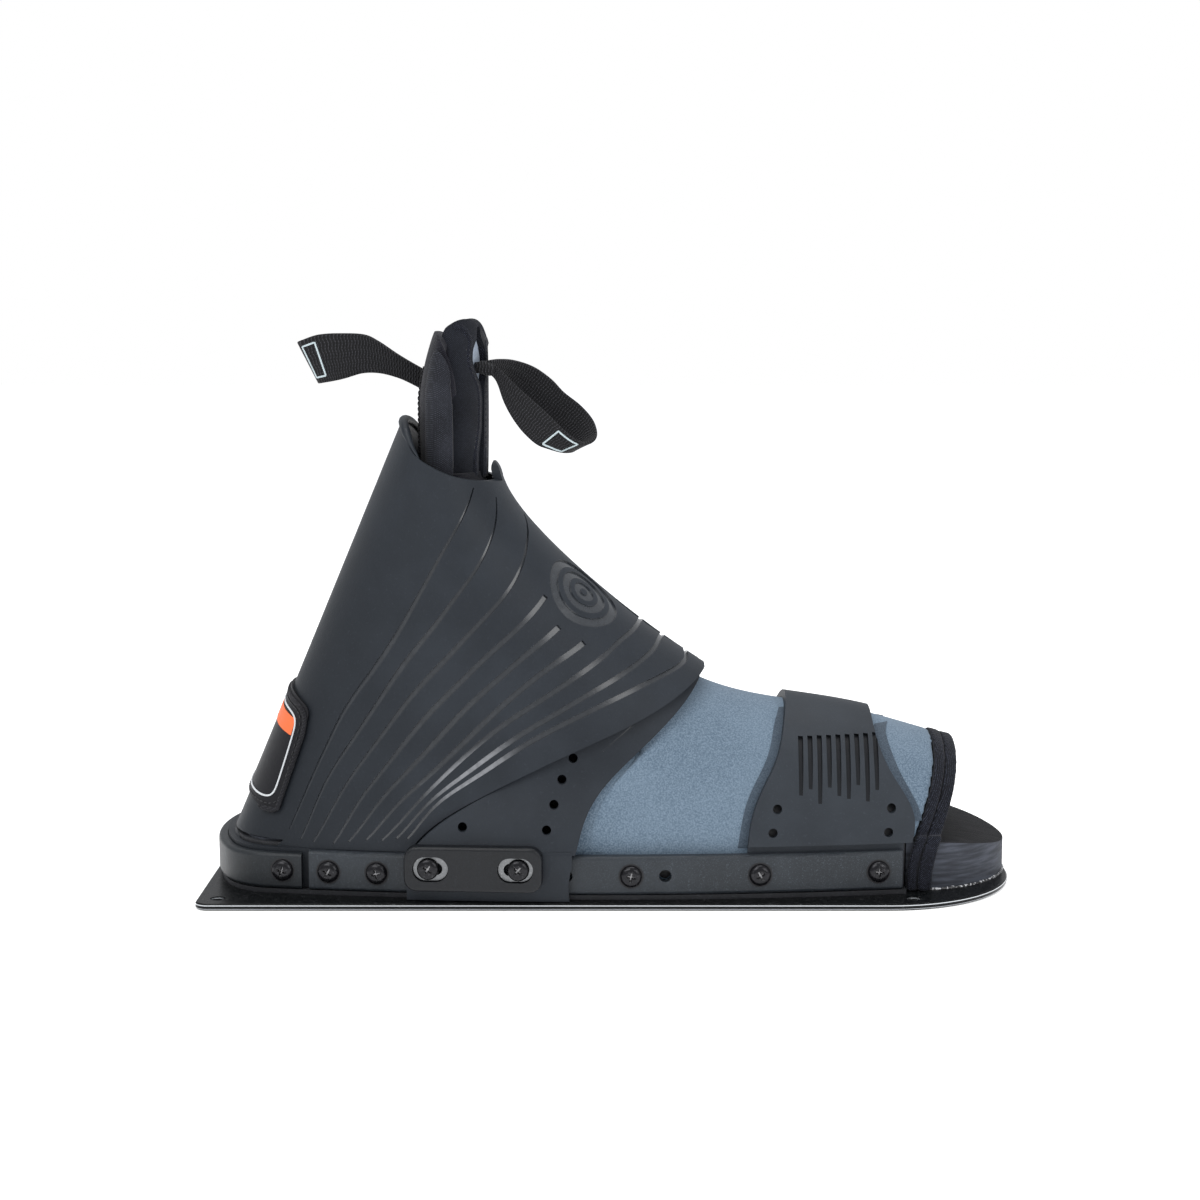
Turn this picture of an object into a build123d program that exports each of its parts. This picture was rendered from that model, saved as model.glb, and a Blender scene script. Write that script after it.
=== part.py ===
"""Waterski binding: a double-wrap rubber boot clamped to a drilled base plate.

Frame: millimetres, +X towards the toes, +Y to the wearer's left, +Z up. The origin is
the centre of the base plate's underside. "Right" pieces lie on -Y, "left" ones on +Y.
"""

from build123d import *
import math
import os

# --- base plate -------------------------------------------------------------------
plate_length = 357.5
plate_width = 140.0
plate_thickness = 3.0
plate_toe_radius = 60.0
plate_heel_radius = 6.0
plate_edge_break = 0.6
cut_margin = 1.0               # how far a cutter reaches past what it cuts
mount_hole_diameter = 6.5
mount_hole_edge = 9.0          # hole centre to the plate's side and rear edges
mount_hole_pitch_x = 300.0

# --- foot plan: the outer line of the rails, three tangent arcs ---------------------
side_arc_radius = 890.0
side_arc_x = -5.0
rail_half_width = 64.2         # at side_arc_x
heel_end_x = -178.0
heel_arc_radius = 87.0
heel_corner_radius = 28.6

# --- clamping stack, measured inwards from the rails' outer line --------------------
rail_thickness = 4.0
wrap_thickness = 3.0
strap_root_thickness = 1.6
strap_root_overlap = 1.5
sleeve_root_thickness = 1.3
ply_gap = 0.25
root_gap = 0.15                # between a clamped root and what clamps it
seam_gap = 0.4                 # between two edges that meet in a seam
root_overlap = 3.0             # height that a root shares with the boot above it
skirt_lift = 0.1
skirt_overlap = 2.0
chassis_wall = 2.4
chassis_floor = 2.0
chassis_flange_step = 1.0      # flange edge behind the rails' outer line
chassis_height = 21.0          # floor underside to wall top
chassis_front_x = 128.0

# --- rails and heel clamp ------------------------------------------------------------
rail_lift = 0.2                # rail underside above the chassis flange
rail_height = 17.0
rail_rear_x = -131.0
rail_front_x = 126.0
rail_edge_radius = 1.6
heel_clamp_front_x = -134.3
heel_clamp_height = 15.6
heel_clamp_edge_radius = 1.8
rail_screw_z = 13.6
rail_screw_x = (-122.5, -101.4, 8.3, 63.9, 115.6)
rail_spare_hole_x = (-19.5, 23.0)
heel_screw_x = -142.7

# --- lock plates ----------------------------------------------------------------------
lock_x = -58.9
lock_z = 18.2
lock_length = 59.3
lock_height = 19.6
lock_thickness = 5.0
lock_corner_radius = 5.5
lock_edge_radius = 1.6
lock_screw_pitch = 38.6
lock_slot_pitch = 36.4
lock_slot_length = 15.4
lock_slot_width = 10.8
lock_slot_floor = 2.4          # plate left under the counterbore
lock_through_length = 10.2
washer_thickness = 0.8
running_gap = 0.3
seat_gap = 0.02                # between a metal piece and its seat
chord_bulge = 0.6              # rise of the rail's arc above the lock plate's chord

# --- fasteners ----------------------------------------------------------------------
screw_head_diameter = 9.5
screw_head_height = 2.7
screw_head_rounding = 0.8      # share of the head's height
screw_shank_diameter = 4.8
screw_hole_clearance = 0.3
bore_length = 40.0             # longer than any clamped stack
insert_diameter = 6.8
insert_length = 6.0
insert_recess = 0.1
insert_bore_gap = 0.05
boss_diameter = 10.0
boss_floor = 1.2               # nylon left behind an insert
plate_screw_head_diameter = 9.0
plate_screw_boss_height = 6.0
plate_screw_tip = 1.5          # boss left above the screw's tip
plate_screw_x = (-140.0, -60.0, 30.0, 100.0)
plate_screw_y = 26.0

# --- footbed ----------------------------------------------------------------------------
footbed_half_width = 47.0
footbed_tip_x = 178.5
footbed_height = 21.8
footbed_tip_height = 13.6
footbed_slope_x = 128.0
footbed_slope_drop = 2.3       # half-way along the slope
footbed_gap = 0.4

# --- boot ---------------------------------------------------------------------------------
wrap_base_z = 19.5
heel_line_x = -163.8           # heel line through this point, at heel_line_z
heel_line_z = 38.3
heel_line_slope = 0.4222
sleeve_thickness = 3.0
liner_thickness = 4.0
forefoot_liner_thickness = 2.5
strap_thickness = 3.5
flap_thickness = 3.0
flap_lift = 0.2                # flap's foot above the plate
flap_foot_overlap = 2.6        # height that a flap's foot shares with the flap
flap_join_z = 62.0             # above this a flap follows the boot
flap_cover_z = flap_join_z + 2.0   # above this a flap may pass under the other wing
lap_width = 4.0                # of the joggle where a wrap steps inwards
wrap_hole_diameter = 4.0
instep_inset_ratio = 1.25      # instep inset for each millimetre of side inset
throat_tab_width = 15.0
throat_tab_radius = 6.0
throat_tab_top_z = 187.5
throat_tab_rear_x = -62.0
circle_handle = 0.5523         # Bezier handle of a quarter circle
arch_side_handle = 0.34
arch_top_handle = 0.52
arch_leg = 0.5
arch_inner_leg = 3.0
patch_thickness = 1.3
patch_gap = 0.1
patch_corner_radius = 5.0

# --- toe bindings ----------------------------------------------------------------------------
band_gap = 0.1
band_rear_x = 120.0
band_shoulder = 2.5
band_shoulder_depth = 2.0
sleeve_binding_bulge = 0.8
sleeve_binding_foot = (2.6, 5.9)   # outer and inner inset of its foot
liner_binding_bulge = 0.5
liner_binding_depth = 5.8
liner_binding_foot = (1.8, 4.4)

# --- free liner ends above the cuff ---------------------------------------------------------
collar_z = 181.0
fold_gap = 1.0                 # room for a free end to lean the other way
upstand_overlap = 2.0
tab_fold_z = 208.0
tab_top_z = 245.0
tab_centre_x = -69.0
tab_run = 17.5
tab_half_width = 30.0
tab_thickness = 4.5
tongue_fold_z = 189.0
tongue_top_z = 249.7
tongue_centre_x = -71.5
tongue_run = 16.4
tongue_half_width = 23.0
tongue_thickness = 6.0

# --- pull loops ----------------------------------------------------------------------------------
webbing_thickness = 1.8
webbing_width = 18.0
anchor_base_z = 211.0          # webbing sewn up the heel tab's rear
anchor_top_z = 240.0
rear_root_radius = 6.4
rear_root_z = 231.8
rear_loop_spread = 8.0
rear_loop_hollow = (-137.2, -98.5)
front_root_radius = 3.3
front_root_turn = 216.0        # where its lower edge meets the root's circle
front_root_z = 230.3
front_loop_spread = 20.0
front_loop_hollow = (-46.0, -11.8)

os.makedirs("parts", exist_ok=True)

chassis_base_z = plate_thickness
flange_top_z = chassis_base_z + chassis_floor
chassis_top_z = chassis_base_z + chassis_height
rail_base_z = flange_top_z + rail_lift
rail_top_z = rail_base_z + rail_height
wrap_inset = rail_thickness + ply_gap
chassis_inset = wrap_inset + wrap_thickness + ply_gap
footbed_inset = chassis_inset + chassis_wall + footbed_gap
strap_root_inset = rail_thickness + root_gap
sleeve_inset = chassis_inset - sleeve_root_thickness - root_gap
skirt_base_z = rail_base_z + skirt_lift
skirt_top_z = chassis_top_z + skirt_overlap
inner_layer = wrap_thickness + running_gap
liner_layer = 2 * inner_layer
flap_inset = -(running_gap + flap_thickness)
lock_seat_offset = running_gap + flap_thickness + chord_bulge + running_gap
arch_base_z = plate_thickness + footbed_height + footbed_gap
big = 400.0


# ============================ outlines and sections ==========================================

# z, instep x, widest x, half-width, heel and side squareness of the boot's outer surface
boot_sections = (
    (wrap_base_z, 140.0, 0.0, 59.8, 0.71, 0.95),
    (40.0, 118.0, -8.0, 58.0, 0.69, 0.90),
    (62.0, 92.5, -22.0, 54.8, 0.66, 0.82),
    (73.0, 76.3, -32.0, 52.9, 0.645, 0.78),
    (85.0, 59.0, -42.0, 51.0, 0.63, 0.74),
    (104.0, 30.3, -56.0, 47.8, 0.60, 0.68),
    (131.0, -5.0, -68.0, 44.3, 0.58, 0.62),
    (154.0, -29.7, -74.0, 42.0, 0.56, 0.58),
    (170.0, -43.0, -76.5, 41.0, 0.56, 0.56),
    (188.0, -50.0, -76.0, 40.4, 0.56, 0.56),
    (212.0, -52.0, -72.0, 40.0, 0.56, 0.56),
)
# the same for a wrap's end that flares out over the rail, and its share of its own layer
flap_sections = (
    ((rail_top_z + flap_foot_overlap / 2, 136.0, -2.0, 67.5, 0.71, 0.95), 0.0),
    ((34.0, 125.0, -6.0, 64.6, 0.70, 0.93), 0.45),
    ((47.0, 110.0, -12.0, 59.6, 0.68, 0.88), 0.85),
)
# z, heel x, instep x, widest x, half-width of the heel liner's outer surface
liner_sections = (
    (arch_base_z, -162.0, 40.0, -24.0, 49.0),
    (42.0, -155.5, 34.0, -30.0, 48.0),
    (62.0, -147.5, 26.0, -38.0, 46.0),
    (84.0, -139.2, 14.0, -50.0, 42.8),
    (104.0, -130.0, 0.0, -60.0, 39.5),
    (131.0, -118.5, -22.0, -69.0, 36.0),
    (154.0, -107.5, -42.0, -73.0, 33.5),
    (170.0, -98.0, -53.0, -73.0, 32.0),
    (collar_z, -91.0, -55.6, -72.0, 30.8),
    (tongue_fold_z + cut_margin, -87.2, -55.6, -71.5, 30.0),
)
# x, z of the forefoot's ridge
forefoot_ridge = ((-45, 158), (0, 118), (45, 87.2), (85, 78.4), (125, 70.6), (165, 61.0))

# side outlines, as x, z
rim_points = ((-120, 216), (-100, 211), (-92.5, 205), (-84.5, 192), (-78, 187.7), (-69.5, 183.6),
              (-58.8, 180.8), (-46, 178.8))
wing_edge_points = ((-88.0, 21.5), (-81.5, 29.5), (-64, 42.0), (-46, 51.5), (-14, 66.5), (16.6, 80.0),
                    (38, 92.5))
wing_edge_end = (42.0, 95.5)
flap_front_points = ((-18, 3.0), (-17.5, 16.7), (-15, 25.7), (-11.5, 37.3), (-5, 48.4), (5.9, 59.5),
                     (21, 72.8), (39.5, 92.1))
tail_edge_points = ((-91.0, 3.0), (-91.0, 18.0), (-84.0, 40.0), (-68.0, 84.0), (-55.0, 130.0),
                    (-49.0, 178.0))
lap_edge_points = ((-108.3, 3.0), (-108.3, 24.0), (-104.0, 60.0), (-97.0, 110.0), (-88.0, 160.0),
                   (-80.0, 200.0))
boot_seam_points = ((-36.0, 24.0), (-27.0, 40.0), (-12.0, 59.0), (4.0, 80.0), (20.0, 112.0))
boot_seam_end = (30.0, 150.0)
sleeve_edge_points = ((128.6, 3.2), (129.2, 16.5), (135.5, 34.0), (142.4, 52.0), (143.5, 74.0))
band_edge_points = ((133.5, 3.2), (134.2, 16.5), (140.6, 34.0), (147.6, 52.0), (148.6, 74.0))
toe_edge_points = ((139.5, 3.2), (140.0, 12.0), (145.0, 30.0), (152.6, 50.0), (154.2, 74.0))
strap_rear_points = ((58.4, 3.0), (58.4, 16.7), (62.5, 42.6), (72.3, 60.4), (76.4, 73.7), (80.3, 90.0))
strap_front_points = ((127.9, 3.0), (128.2, 16.7), (131.6, 36.0), (122.4, 53.8), (117.4, 67.0),
                      (121.5, 90.0))
patch_corners = ((-132.0, 80.5), (-146.1, 34.4), (-176.0, 47.0), (-162.0, 99.5))
tab_crown_points = ((-60, 222), (-69.5, 231), (-76, 241.5), (-82, tab_top_z - cut_margin))
tongue_crown_points = ((-40, 240), (-55.2, 241), (-60, 248.5), (-66, tongue_top_z), (-72, 246), (-90, 244))
rear_loop_points = ((-109.2, 245.0), (-139.5, 240.5), (-133.5, 223.0), (-116.2, 227.0))
front_loop_points = ((-36.1, 231.0), (-20.0, 218.5), (-6.8, 198.8), (-22.9, 193.4), (-40.7, 205.5),
                     (-47.2, 219.0))

# x, z of the adjusting holes through the flaps and the toe strap
flap_holes = ((-16.6, 62.5), (-21.4, 53.7), (-24.8, 43.6), (-27.9, 33.5), (-64.0, 34.5))
strap_holes = ((71.6, 40.7), (69.5, 31.0), (121.6, 39.8), (120.0, 30.0))


# ============================ shared geometry ==============================================

def rail_line(x):
    """Half-width of the rails' outer line at x."""
    run = x - side_arc_x
    return math.sqrt(side_arc_radius**2 - run**2) - (side_arc_radius - rail_half_width)


def foot_plan(inset, front_x):
    """Foot outline set in from the rails' outer line, cut square at front_x."""
    centre_y = side_arc_radius - rail_half_width
    sides = Pos(side_arc_x, centre_y) * Circle(side_arc_radius - inset)
    sides &= Pos(side_arc_x, -centre_y) * Circle(side_arc_radius - inset)
    heel_x = heel_end_x + heel_arc_radius
    ends = Pos(heel_x, 0) * Circle(heel_arc_radius - inset)
    ends += Pos(heel_x, 0) * Rectangle(front_x - heel_x, big, align=(Align.MIN, Align.CENTER))
    plan = sides & ends
    corners = plan.vertices().sort_by(Axis.X)[:2]
    return fillet(corners, heel_corner_radius - inset)


def foot_ring(outer_inset, inner_inset, base_z, top_z, rear_x, front_x):
    """Wall between two insets of the foot outline, kept from rear_x to front_x."""
    ring = foot_plan(outer_inset, front_x) - foot_plan(inner_inset, front_x + cut_margin)
    wall = extrude(Pos(0, 0, base_z) * ring, top_z - base_z)
    return wall & slab(rear_x, front_x)


def slab(low_x, high_x, low_y=-big, high_y=big):
    """Tall block used to keep a range of x and y."""
    block = Box(high_x - low_x, high_y - low_y, 2 * big, align=Align.MIN)
    return Pos(low_x, low_y, -big) * block


def side_prism(outline, side=0):
    """Prism across the boot from a closed side outline; side keeps -Y (-1), +Y (+1) or both."""
    face = Plane.XZ * make_face(outline)
    if side < 0:
        return extrude(face, big)
    if side > 0:
        return extrude(face, -big)
    return extrude(face, big, both=True)


def lean_x(z):
    """Heel line of the boot's outer surface."""
    return heel_line_x + heel_line_slope * (z - heel_line_z)


def egg(z, rear_x, front_x, wide_x, half_width, heel_square=circle_handle, side_square=circle_handle):
    """Egg-shaped closed section in a level plane, blunt at the heel."""
    rear_run = wide_x - rear_x
    front_run = front_x - wide_x
    edges = []
    for side in (1, -1):
        y = side * half_width
        edges.append(Bezier(
            (rear_x, 0), (rear_x, heel_square * y), (wide_x - side_square * rear_run, y), (wide_x, y)))
        edges.append(Bezier((wide_x, y), (wide_x + circle_handle * front_run, y),
                            (front_x, circle_handle * y), (front_x, 0)))
    return Pos(0, 0, z) * make_face(edges)


def boot_section(row, side_inset, rear_inset):
    """One level section of the boot, set in by the given amounts."""
    z, front_x, wide_x, half_width, heel_square, side_square = row
    return egg(z, lean_x(z) + rear_inset, front_x - instep_inset_ratio * side_inset, wide_x,
               half_width - side_inset, heel_square, side_square)


def boot_body(side_inset, rear_inset=None):
    """Solid inside the boot's outer surface, set in by the given amounts."""
    rear_inset = side_inset if rear_inset is None else rear_inset
    return loft([boot_section(row, side_inset, rear_inset) for row in boot_sections])


def flap_shell(layer):
    """Shell of a wrap's end: outside the rail at its foot, in its own layer above."""
    walls = []
    for depth in (0, flap_thickness):
        low = [boot_section(row, depth + layer * share, layer + depth) for row, share in flap_sections]
        high = [boot_section(row, depth + layer, layer + depth)
                for row in boot_sections if row[0] >= flap_join_z]
        walls.append(loft(low + high))
    foot = foot_ring(flap_inset, -running_gap, plate_thickness + flap_lift, rail_top_z + flap_foot_overlap,
                     tail_edge_points[0][0] - cut_margin, flap_front_points[0][0] + cut_margin)
    shell = (walls[0] - walls[1]) & below_rim()
    return (shell - boot_body(layer + wrap_thickness)) + foot


def arch(x, half_width, top_z, leg):
    """Closed arch section across the forefoot at x, with straight legs under it."""
    rise = top_z - arch_base_z
    foot_z = arch_base_z - leg
    edges = []
    for side in (1, -1):
        y = side * half_width
        edges.append(Line((y, foot_z), (y, arch_base_z)))
        edges.append(Bezier((y, arch_base_z), (y, arch_base_z + arch_side_handle * rise),
                            (arch_top_handle * y, top_z), (0, top_z)))
    edges.append(Line((-half_width, foot_z), (half_width, foot_z)))
    return Pos(x, 0, 0) * (Plane.YZ * make_face(edges))


def forefoot_body(inset, leg=arch_leg):
    """Solid inside the forefoot's outer surface, set in by inset."""
    return loft([arch(x, rail_line(x) - sleeve_inset - inset, z - inset, leg) for x, z in forefoot_ridge])


def arch_shell(outer_inset, inner_inset):
    """Shell between two insets of the forefoot's surface, from the footbed upwards."""
    shell = forefoot_body(outer_inset) - forefoot_body(inner_inset, arch_inner_leg)
    return shell & above(arch_base_z)


def mirrored(shape):
    """The left-hand copy of a right-hand shape."""
    return mirror(shape, about=Plane.XZ)


# --- lock plate frame: on the right rail, x along the rail, z out of it -------------------
def chord_frame(inset, side=-1):
    """Frame at the lock plate's centre, on a line parallel to the rail's chord."""
    rear = lock_x - lock_length / 2
    front = lock_x + lock_length / 2
    slope = (rail_line(front) - rail_line(rear)) / lock_length
    along = Vector(1, side * slope, 0).normalized()
    outward = Vector(along.Y, -along.X, 0) * -side
    centre_y = side * (rail_line(lock_x) - inset)
    return Plane(origin=(lock_x, centre_y, lock_z), x_dir=along, z_dir=outward)


def rail_normal_frame(x, z):
    """Frame on the right rail's outer face at x, z axis pointing outwards."""
    centre = Vector(side_arc_x, side_arc_radius - rail_half_width, z)
    slope = (x - side_arc_x) / side_arc_radius
    outward = Vector(slope, -math.sqrt(1 - slope**2), 0)
    origin = centre + outward * side_arc_radius
    return Plane(origin=origin, x_dir=(-outward.Y, outward.X, 0), z_dir=outward)


def lock_screw_frames():
    """Frames of the two screws that pass through a lock plate."""
    seat = chord_frame(-lock_seat_offset)
    return [Plane(origin=seat.from_local_coords((s * lock_screw_pitch / 2, 0, 0)),
                  x_dir=seat.x_dir, z_dir=seat.z_dir) for s in (-1, 1)]


# ============================ base and chassis ==============================================

def mount_hole_places():
    """Centres of the four holes that bolt the plate to a ski."""
    y = plate_width / 2 - mount_hole_edge
    rear_x = -plate_length / 2 + mount_hole_edge
    front_x = rear_x + mount_hole_pitch_x
    return [(rear_x, y), (rear_x, -y), (front_x, y), (front_x, -y)]


def plate_screw_places():
    """Centres of the countersunk screws that hold the chassis to the plate."""
    return [(x, s * plate_screw_y) for x in plate_screw_x for s in (-1, 1)]


def base_plate():
    """Aluminium plate with rounded toe, mount holes and countersunk chassis holes."""
    outline = Rectangle(plate_length, plate_width)
    corners = outline.vertices().sort_by(Axis.X)
    outline = fillet(corners[2:], plate_toe_radius)
    outline = fillet(outline.vertices().sort_by(Axis.X)[:2], plate_heel_radius)
    plate = extrude(outline, plate_thickness)
    rims = plate.faces().sort_by(Axis.Z)[-1].edges() + plate.faces().sort_by(Axis.Z)[0].edges()
    plate = chamfer(rims, plate_edge_break)
    for x, y in mount_hole_places():
        plate -= Pos(x, y, 0) * Cylinder(mount_hole_diameter / 2, 3 * plate_thickness)
    for x, y in plate_screw_places():
        plate -= Pos(x, y, 0) * plate_screw(screw_hole_clearance)
    return plate


def plate_screw(clearance=0.0):
    """Countersunk screw from the plate's underside up into a chassis boss."""
    head_radius = plate_screw_head_diameter / 2 + clearance
    shank_radius = screw_shank_diameter / 2 + clearance
    head = Cone(head_radius, shank_radius, head_radius - shank_radius,
                align=(Align.CENTER, Align.CENTER, Align.MIN))
    length = plate_thickness + chassis_floor + plate_screw_boss_height - plate_screw_tip
    shank = Cylinder(shank_radius, length, align=(Align.CENTER, Align.CENTER, Align.MIN))
    return head + shank


def side_screw_frames():
    """Frames on the right rail's outer face for every screw with an insert."""
    rails = [rail_normal_frame(x, rail_screw_z) for x in rail_screw_x]
    return rails + [rail_normal_frame(heel_screw_x, rail_screw_z)]


def insert_frames():
    """Frames at the chassis wall's outer face where the inserts start."""
    shallow = [Plane(origin=f.from_local_coords((0, 0, -chassis_inset)), x_dir=f.x_dir, z_dir=f.z_dir)
               for f in side_screw_frames()]
    depth = -(lock_seat_offset + chassis_inset + chord_bulge)
    deep = [Plane(origin=f.from_local_coords((0, 0, depth)), x_dir=f.x_dir, z_dir=f.z_dir)
            for f in lock_screw_frames()]
    return shallow + deep


def chassis():
    """Nylon tray: flange and floor, clamping wall and bosses for the inserts."""
    floor = extrude(Pos(0, 0, chassis_base_z) * foot_plan(chassis_flange_step, chassis_front_x),
                    chassis_floor)
    wall = foot_ring(chassis_inset, chassis_inset + chassis_wall, chassis_base_z, chassis_top_z,
                     -big, chassis_front_x)
    tray = floor + wall
    room = extrude(Pos(0, 0, chassis_base_z) * foot_plan(chassis_inset, chassis_front_x), big)
    for frame in insert_frames():
        boss = frame * Cylinder(boss_diameter / 2, insert_length + boss_floor,
                                align=(Align.CENTER, Align.CENTER, Align.MAX))
        boss &= room
        for one in (boss, mirrored(boss)):
            tray += one
    for frame in insert_frames():
        bore = frame * Cylinder(insert_diameter / 2, 2 * (insert_length + boss_floor / 3))
        for one in (bore, mirrored(bore)):
            tray -= one
    for x, y in plate_screw_places():
        boss = Cylinder(boss_diameter / 2, chassis_floor + plate_screw_boss_height,
                        align=(Align.CENTER, Align.CENTER, Align.MIN))
        tray += Pos(x, y, chassis_base_z) * boss
    for x, y in plate_screw_places():
        tray -= Pos(x, y, 0) * plate_screw(screw_hole_clearance / 2)
    return tray


def threaded_inserts():
    """Brass inserts pressed into the chassis bosses, one for each side screw."""
    inserts = []
    for frame in insert_frames():
        body = Cylinder(insert_diameter / 2, insert_length,
                        align=(Align.CENTER, Align.CENTER, Align.MAX))
        body -= Cylinder(screw_shank_diameter / 2 + insert_bore_gap, 3 * insert_length)
        insert = frame * (Pos(0, 0, -insert_recess) * body)
        inserts += [insert, mirrored(insert)]
    return Compound(children=[one.solid() for one in inserts])


def chassis_screws():
    """The countersunk screws, as separate solids in one group."""
    return Compound(children=[(Pos(x, y, 0) * plate_screw()).solid() for x, y in plate_screw_places()])


def footbed():
    """Foam footbed: wide rounded toe, narrower in the tray, sloping down to the tip."""
    toe_x = footbed_tip_x - footbed_half_width
    toe = Pos(toe_x, 0) * Circle(footbed_half_width)
    step_x = chassis_front_x + footbed_gap
    toe += Pos(step_x, 0) * Rectangle(toe_x - step_x, 2 * footbed_half_width,
                                      align=(Align.MIN, Align.CENTER))
    toe &= Pos(step_x, 0) * Rectangle(big, big, align=(Align.MIN, Align.CENTER))
    block = extrude(Pos(0, 0, plate_thickness) * toe, footbed_height)
    seat = foot_plan(footbed_inset, step_x + cut_margin)
    block += extrude(Pos(0, 0, flange_top_z) * seat, footbed_height - chassis_floor)
    top = plate_thickness + footbed_height
    tip_top = plate_thickness + footbed_tip_height
    end_x = footbed_tip_x + cut_margin
    slope = ThreePointArc((footbed_slope_x, top),
                          ((footbed_slope_x + end_x) / 2, top - footbed_slope_drop), (end_x, tip_top))
    over = top + cut_margin
    spare = [slope, Polyline((end_x, tip_top), (end_x, over), (footbed_slope_x, over),
                             (footbed_slope_x, top))]
    block -= side_prism(spare)
    for frame in insert_frames():
        relief = frame * Cylinder(boss_diameter / 2 + footbed_gap,
                                  2 * (insert_length + boss_floor + footbed_gap))
        for one in (relief, mirrored(relief)):
            block -= one
    for x, y in plate_screw_places():
        pocket = Cylinder(boss_diameter / 2 + footbed_gap, plate_screw_boss_height + footbed_gap,
                          align=(Align.CENTER, Align.CENTER, Align.MIN))
        block -= Pos(x, y, flange_top_z) * pocket
    return block


# ============================ rails, clamp and lock plates ===================================

def pan_screw(length):
    """Pan head screw, head resting on z = 0 and shank below it."""
    radius = screw_head_diameter / 2
    head = Cylinder(radius, screw_head_height, align=(Align.CENTER, Align.CENTER, Align.MIN))
    head = fillet(head.edges().sort_by(Axis.Z)[-1], screw_head_rounding * screw_head_height)
    shank = Cylinder(screw_shank_diameter / 2, length, align=(Align.CENTER, Align.CENTER, Align.MAX))
    return head + shank


def screw_bore(frame):
    """Clearance hole along a screw frame."""
    return frame * Cylinder(screw_shank_diameter / 2 + screw_hole_clearance, bore_length)


def clamp_ring(height, edge_radius, rear_x, front_x):
    """Ring on the rails' outer line, rounded along its outer edges."""
    block = extrude(Pos(0, 0, rail_base_z) * foot_plan(0, front_x), height)
    level = block.faces().filter_by(Axis.Z)
    rims = [edge for edge in level.edges() if edge.center().X < front_x - cut_margin]
    block = fillet(rims, edge_radius)
    inner = foot_plan(rail_thickness, front_x + cut_margin)
    block -= extrude(Pos(0, 0, rail_base_z) * inner, height)
    return block & slab(rear_x, front_x)


def side_rail_right():
    """Moulded clamping rail along the right side, drilled for its screws."""
    rail = clamp_ring(rail_height, rail_edge_radius, rail_rear_x, rail_front_x)
    rail &= slab(-big, big, -big, 0)
    for x in rail_screw_x + rail_spare_hole_x:
        rail -= screw_bore(rail_normal_frame(x, rail_screw_z))
    for frame in lock_screw_frames():
        rail -= screw_bore(frame)
    return rail


def heel_clamp():
    """U-shaped clamp around the heel, one screw on each side."""
    clamp = clamp_ring(heel_clamp_height, heel_clamp_edge_radius, -big, heel_clamp_front_x)
    bore = screw_bore(rail_normal_frame(heel_screw_x, rail_screw_z))
    clamp -= bore
    clamp -= mirrored(bore)
    return clamp


def obround(length, width, depth):
    """Slot body centred on the origin."""
    return extrude(SlotOverall(length, width), depth)


def lock_plate_right():
    """Slotted plate over the flap, pillow edged, with counterbored slots."""
    outline = Rectangle(lock_length, lock_height)
    outline = fillet(outline.vertices(), lock_corner_radius)
    plate = extrude(outline, lock_thickness)
    plate = fillet(plate.faces().sort_by(Axis.Z)[-1].edges(), lock_edge_radius)
    for s in (-1, 1):
        x = s * lock_slot_pitch / 2
        plate -= Pos(x, 0, lock_slot_floor) * obround(lock_slot_length, lock_slot_width, lock_thickness)
        plate -= Pos(x, 0, -cut_margin) * obround(
            lock_through_length, screw_shank_diameter + 2 * running_gap, 2 * lock_thickness)
    return chord_frame(-lock_seat_offset) * plate


def slot_washers_right():
    """Slotted metal washers in the counterbores of the right lock plate."""
    washers = []
    for s in (-1, 1):
        washer = obround(lock_slot_length - 2 * running_gap, lock_slot_width - 2 * running_gap,
                         washer_thickness)
        washer -= Pos(0, 0, -cut_margin) * obround(
            lock_through_length, screw_shank_diameter + 2 * running_gap, 3 * cut_margin)
        frame = chord_frame(-lock_seat_offset)
        place = Pos(s * lock_slot_pitch / 2, 0, lock_slot_floor + seat_gap)
        washers.append((frame * (place * washer)).solid())
    return Compound(children=washers)


def rail_screws_right():
    """Five rail screws of the right side."""
    length = chassis_inset + insert_length
    return Compound(children=[(rail_normal_frame(x, rail_screw_z) * pan_screw(length)).solid()
                              for x in rail_screw_x])


def heel_clamp_screws():
    """One screw on each side of the heel clamp."""
    length = chassis_inset + insert_length
    screw = rail_normal_frame(heel_screw_x, rail_screw_z) * pan_screw(length)
    return Compound(children=[screw.solid(), mirrored(screw).solid()])


def lock_screws_right():
    """Two screws through the right lock plate, flap and rail."""
    seat = lock_slot_floor + washer_thickness + 2 * seat_gap
    length = seat + lock_seat_offset + chord_bulge + chassis_inset + insert_length
    return Compound(children=[(frame * (Pos(0, 0, seat) * pan_screw(length))).solid()
                              for frame in lock_screw_frames()])


# ============================ rubber boot ====================================================

def below_rim():
    """Everything under the cuff's rim, which falls from the heel to the instep."""
    first, last = rim_points[0], rim_points[-1]
    outline = [Spline(*rim_points), Polyline(last, (big, last[1]), (big, -cut_margin), (-big, -cut_margin),
                                             (-big, first[1]), first)]
    return side_prism(outline)


def behind(points, side=0):
    """Everything behind a line given from its foot upwards."""
    first, last = points[0], points[-1]
    outline = [Spline(*points), Polyline(last, (last[0], big), (-big, big), (-big, -cut_margin),
                                         (first[0], -cut_margin), first)]
    return side_prism(outline, side)


def above_wing_edge(gap, side):
    """Everything above the diagonal lower edge of the outer wing."""
    points = [(x, z - gap) for x, z in wing_edge_points]
    first, last = points[0], points[-1]
    end = (wing_edge_end[0], wing_edge_end[1] - gap)
    outline = [Spline(*points), Polyline(last, end, (end[0], big), (-big, big), (-big, -cut_margin),
                                         (first[0], -cut_margin), first)]
    return side_prism(outline, side)


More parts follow.
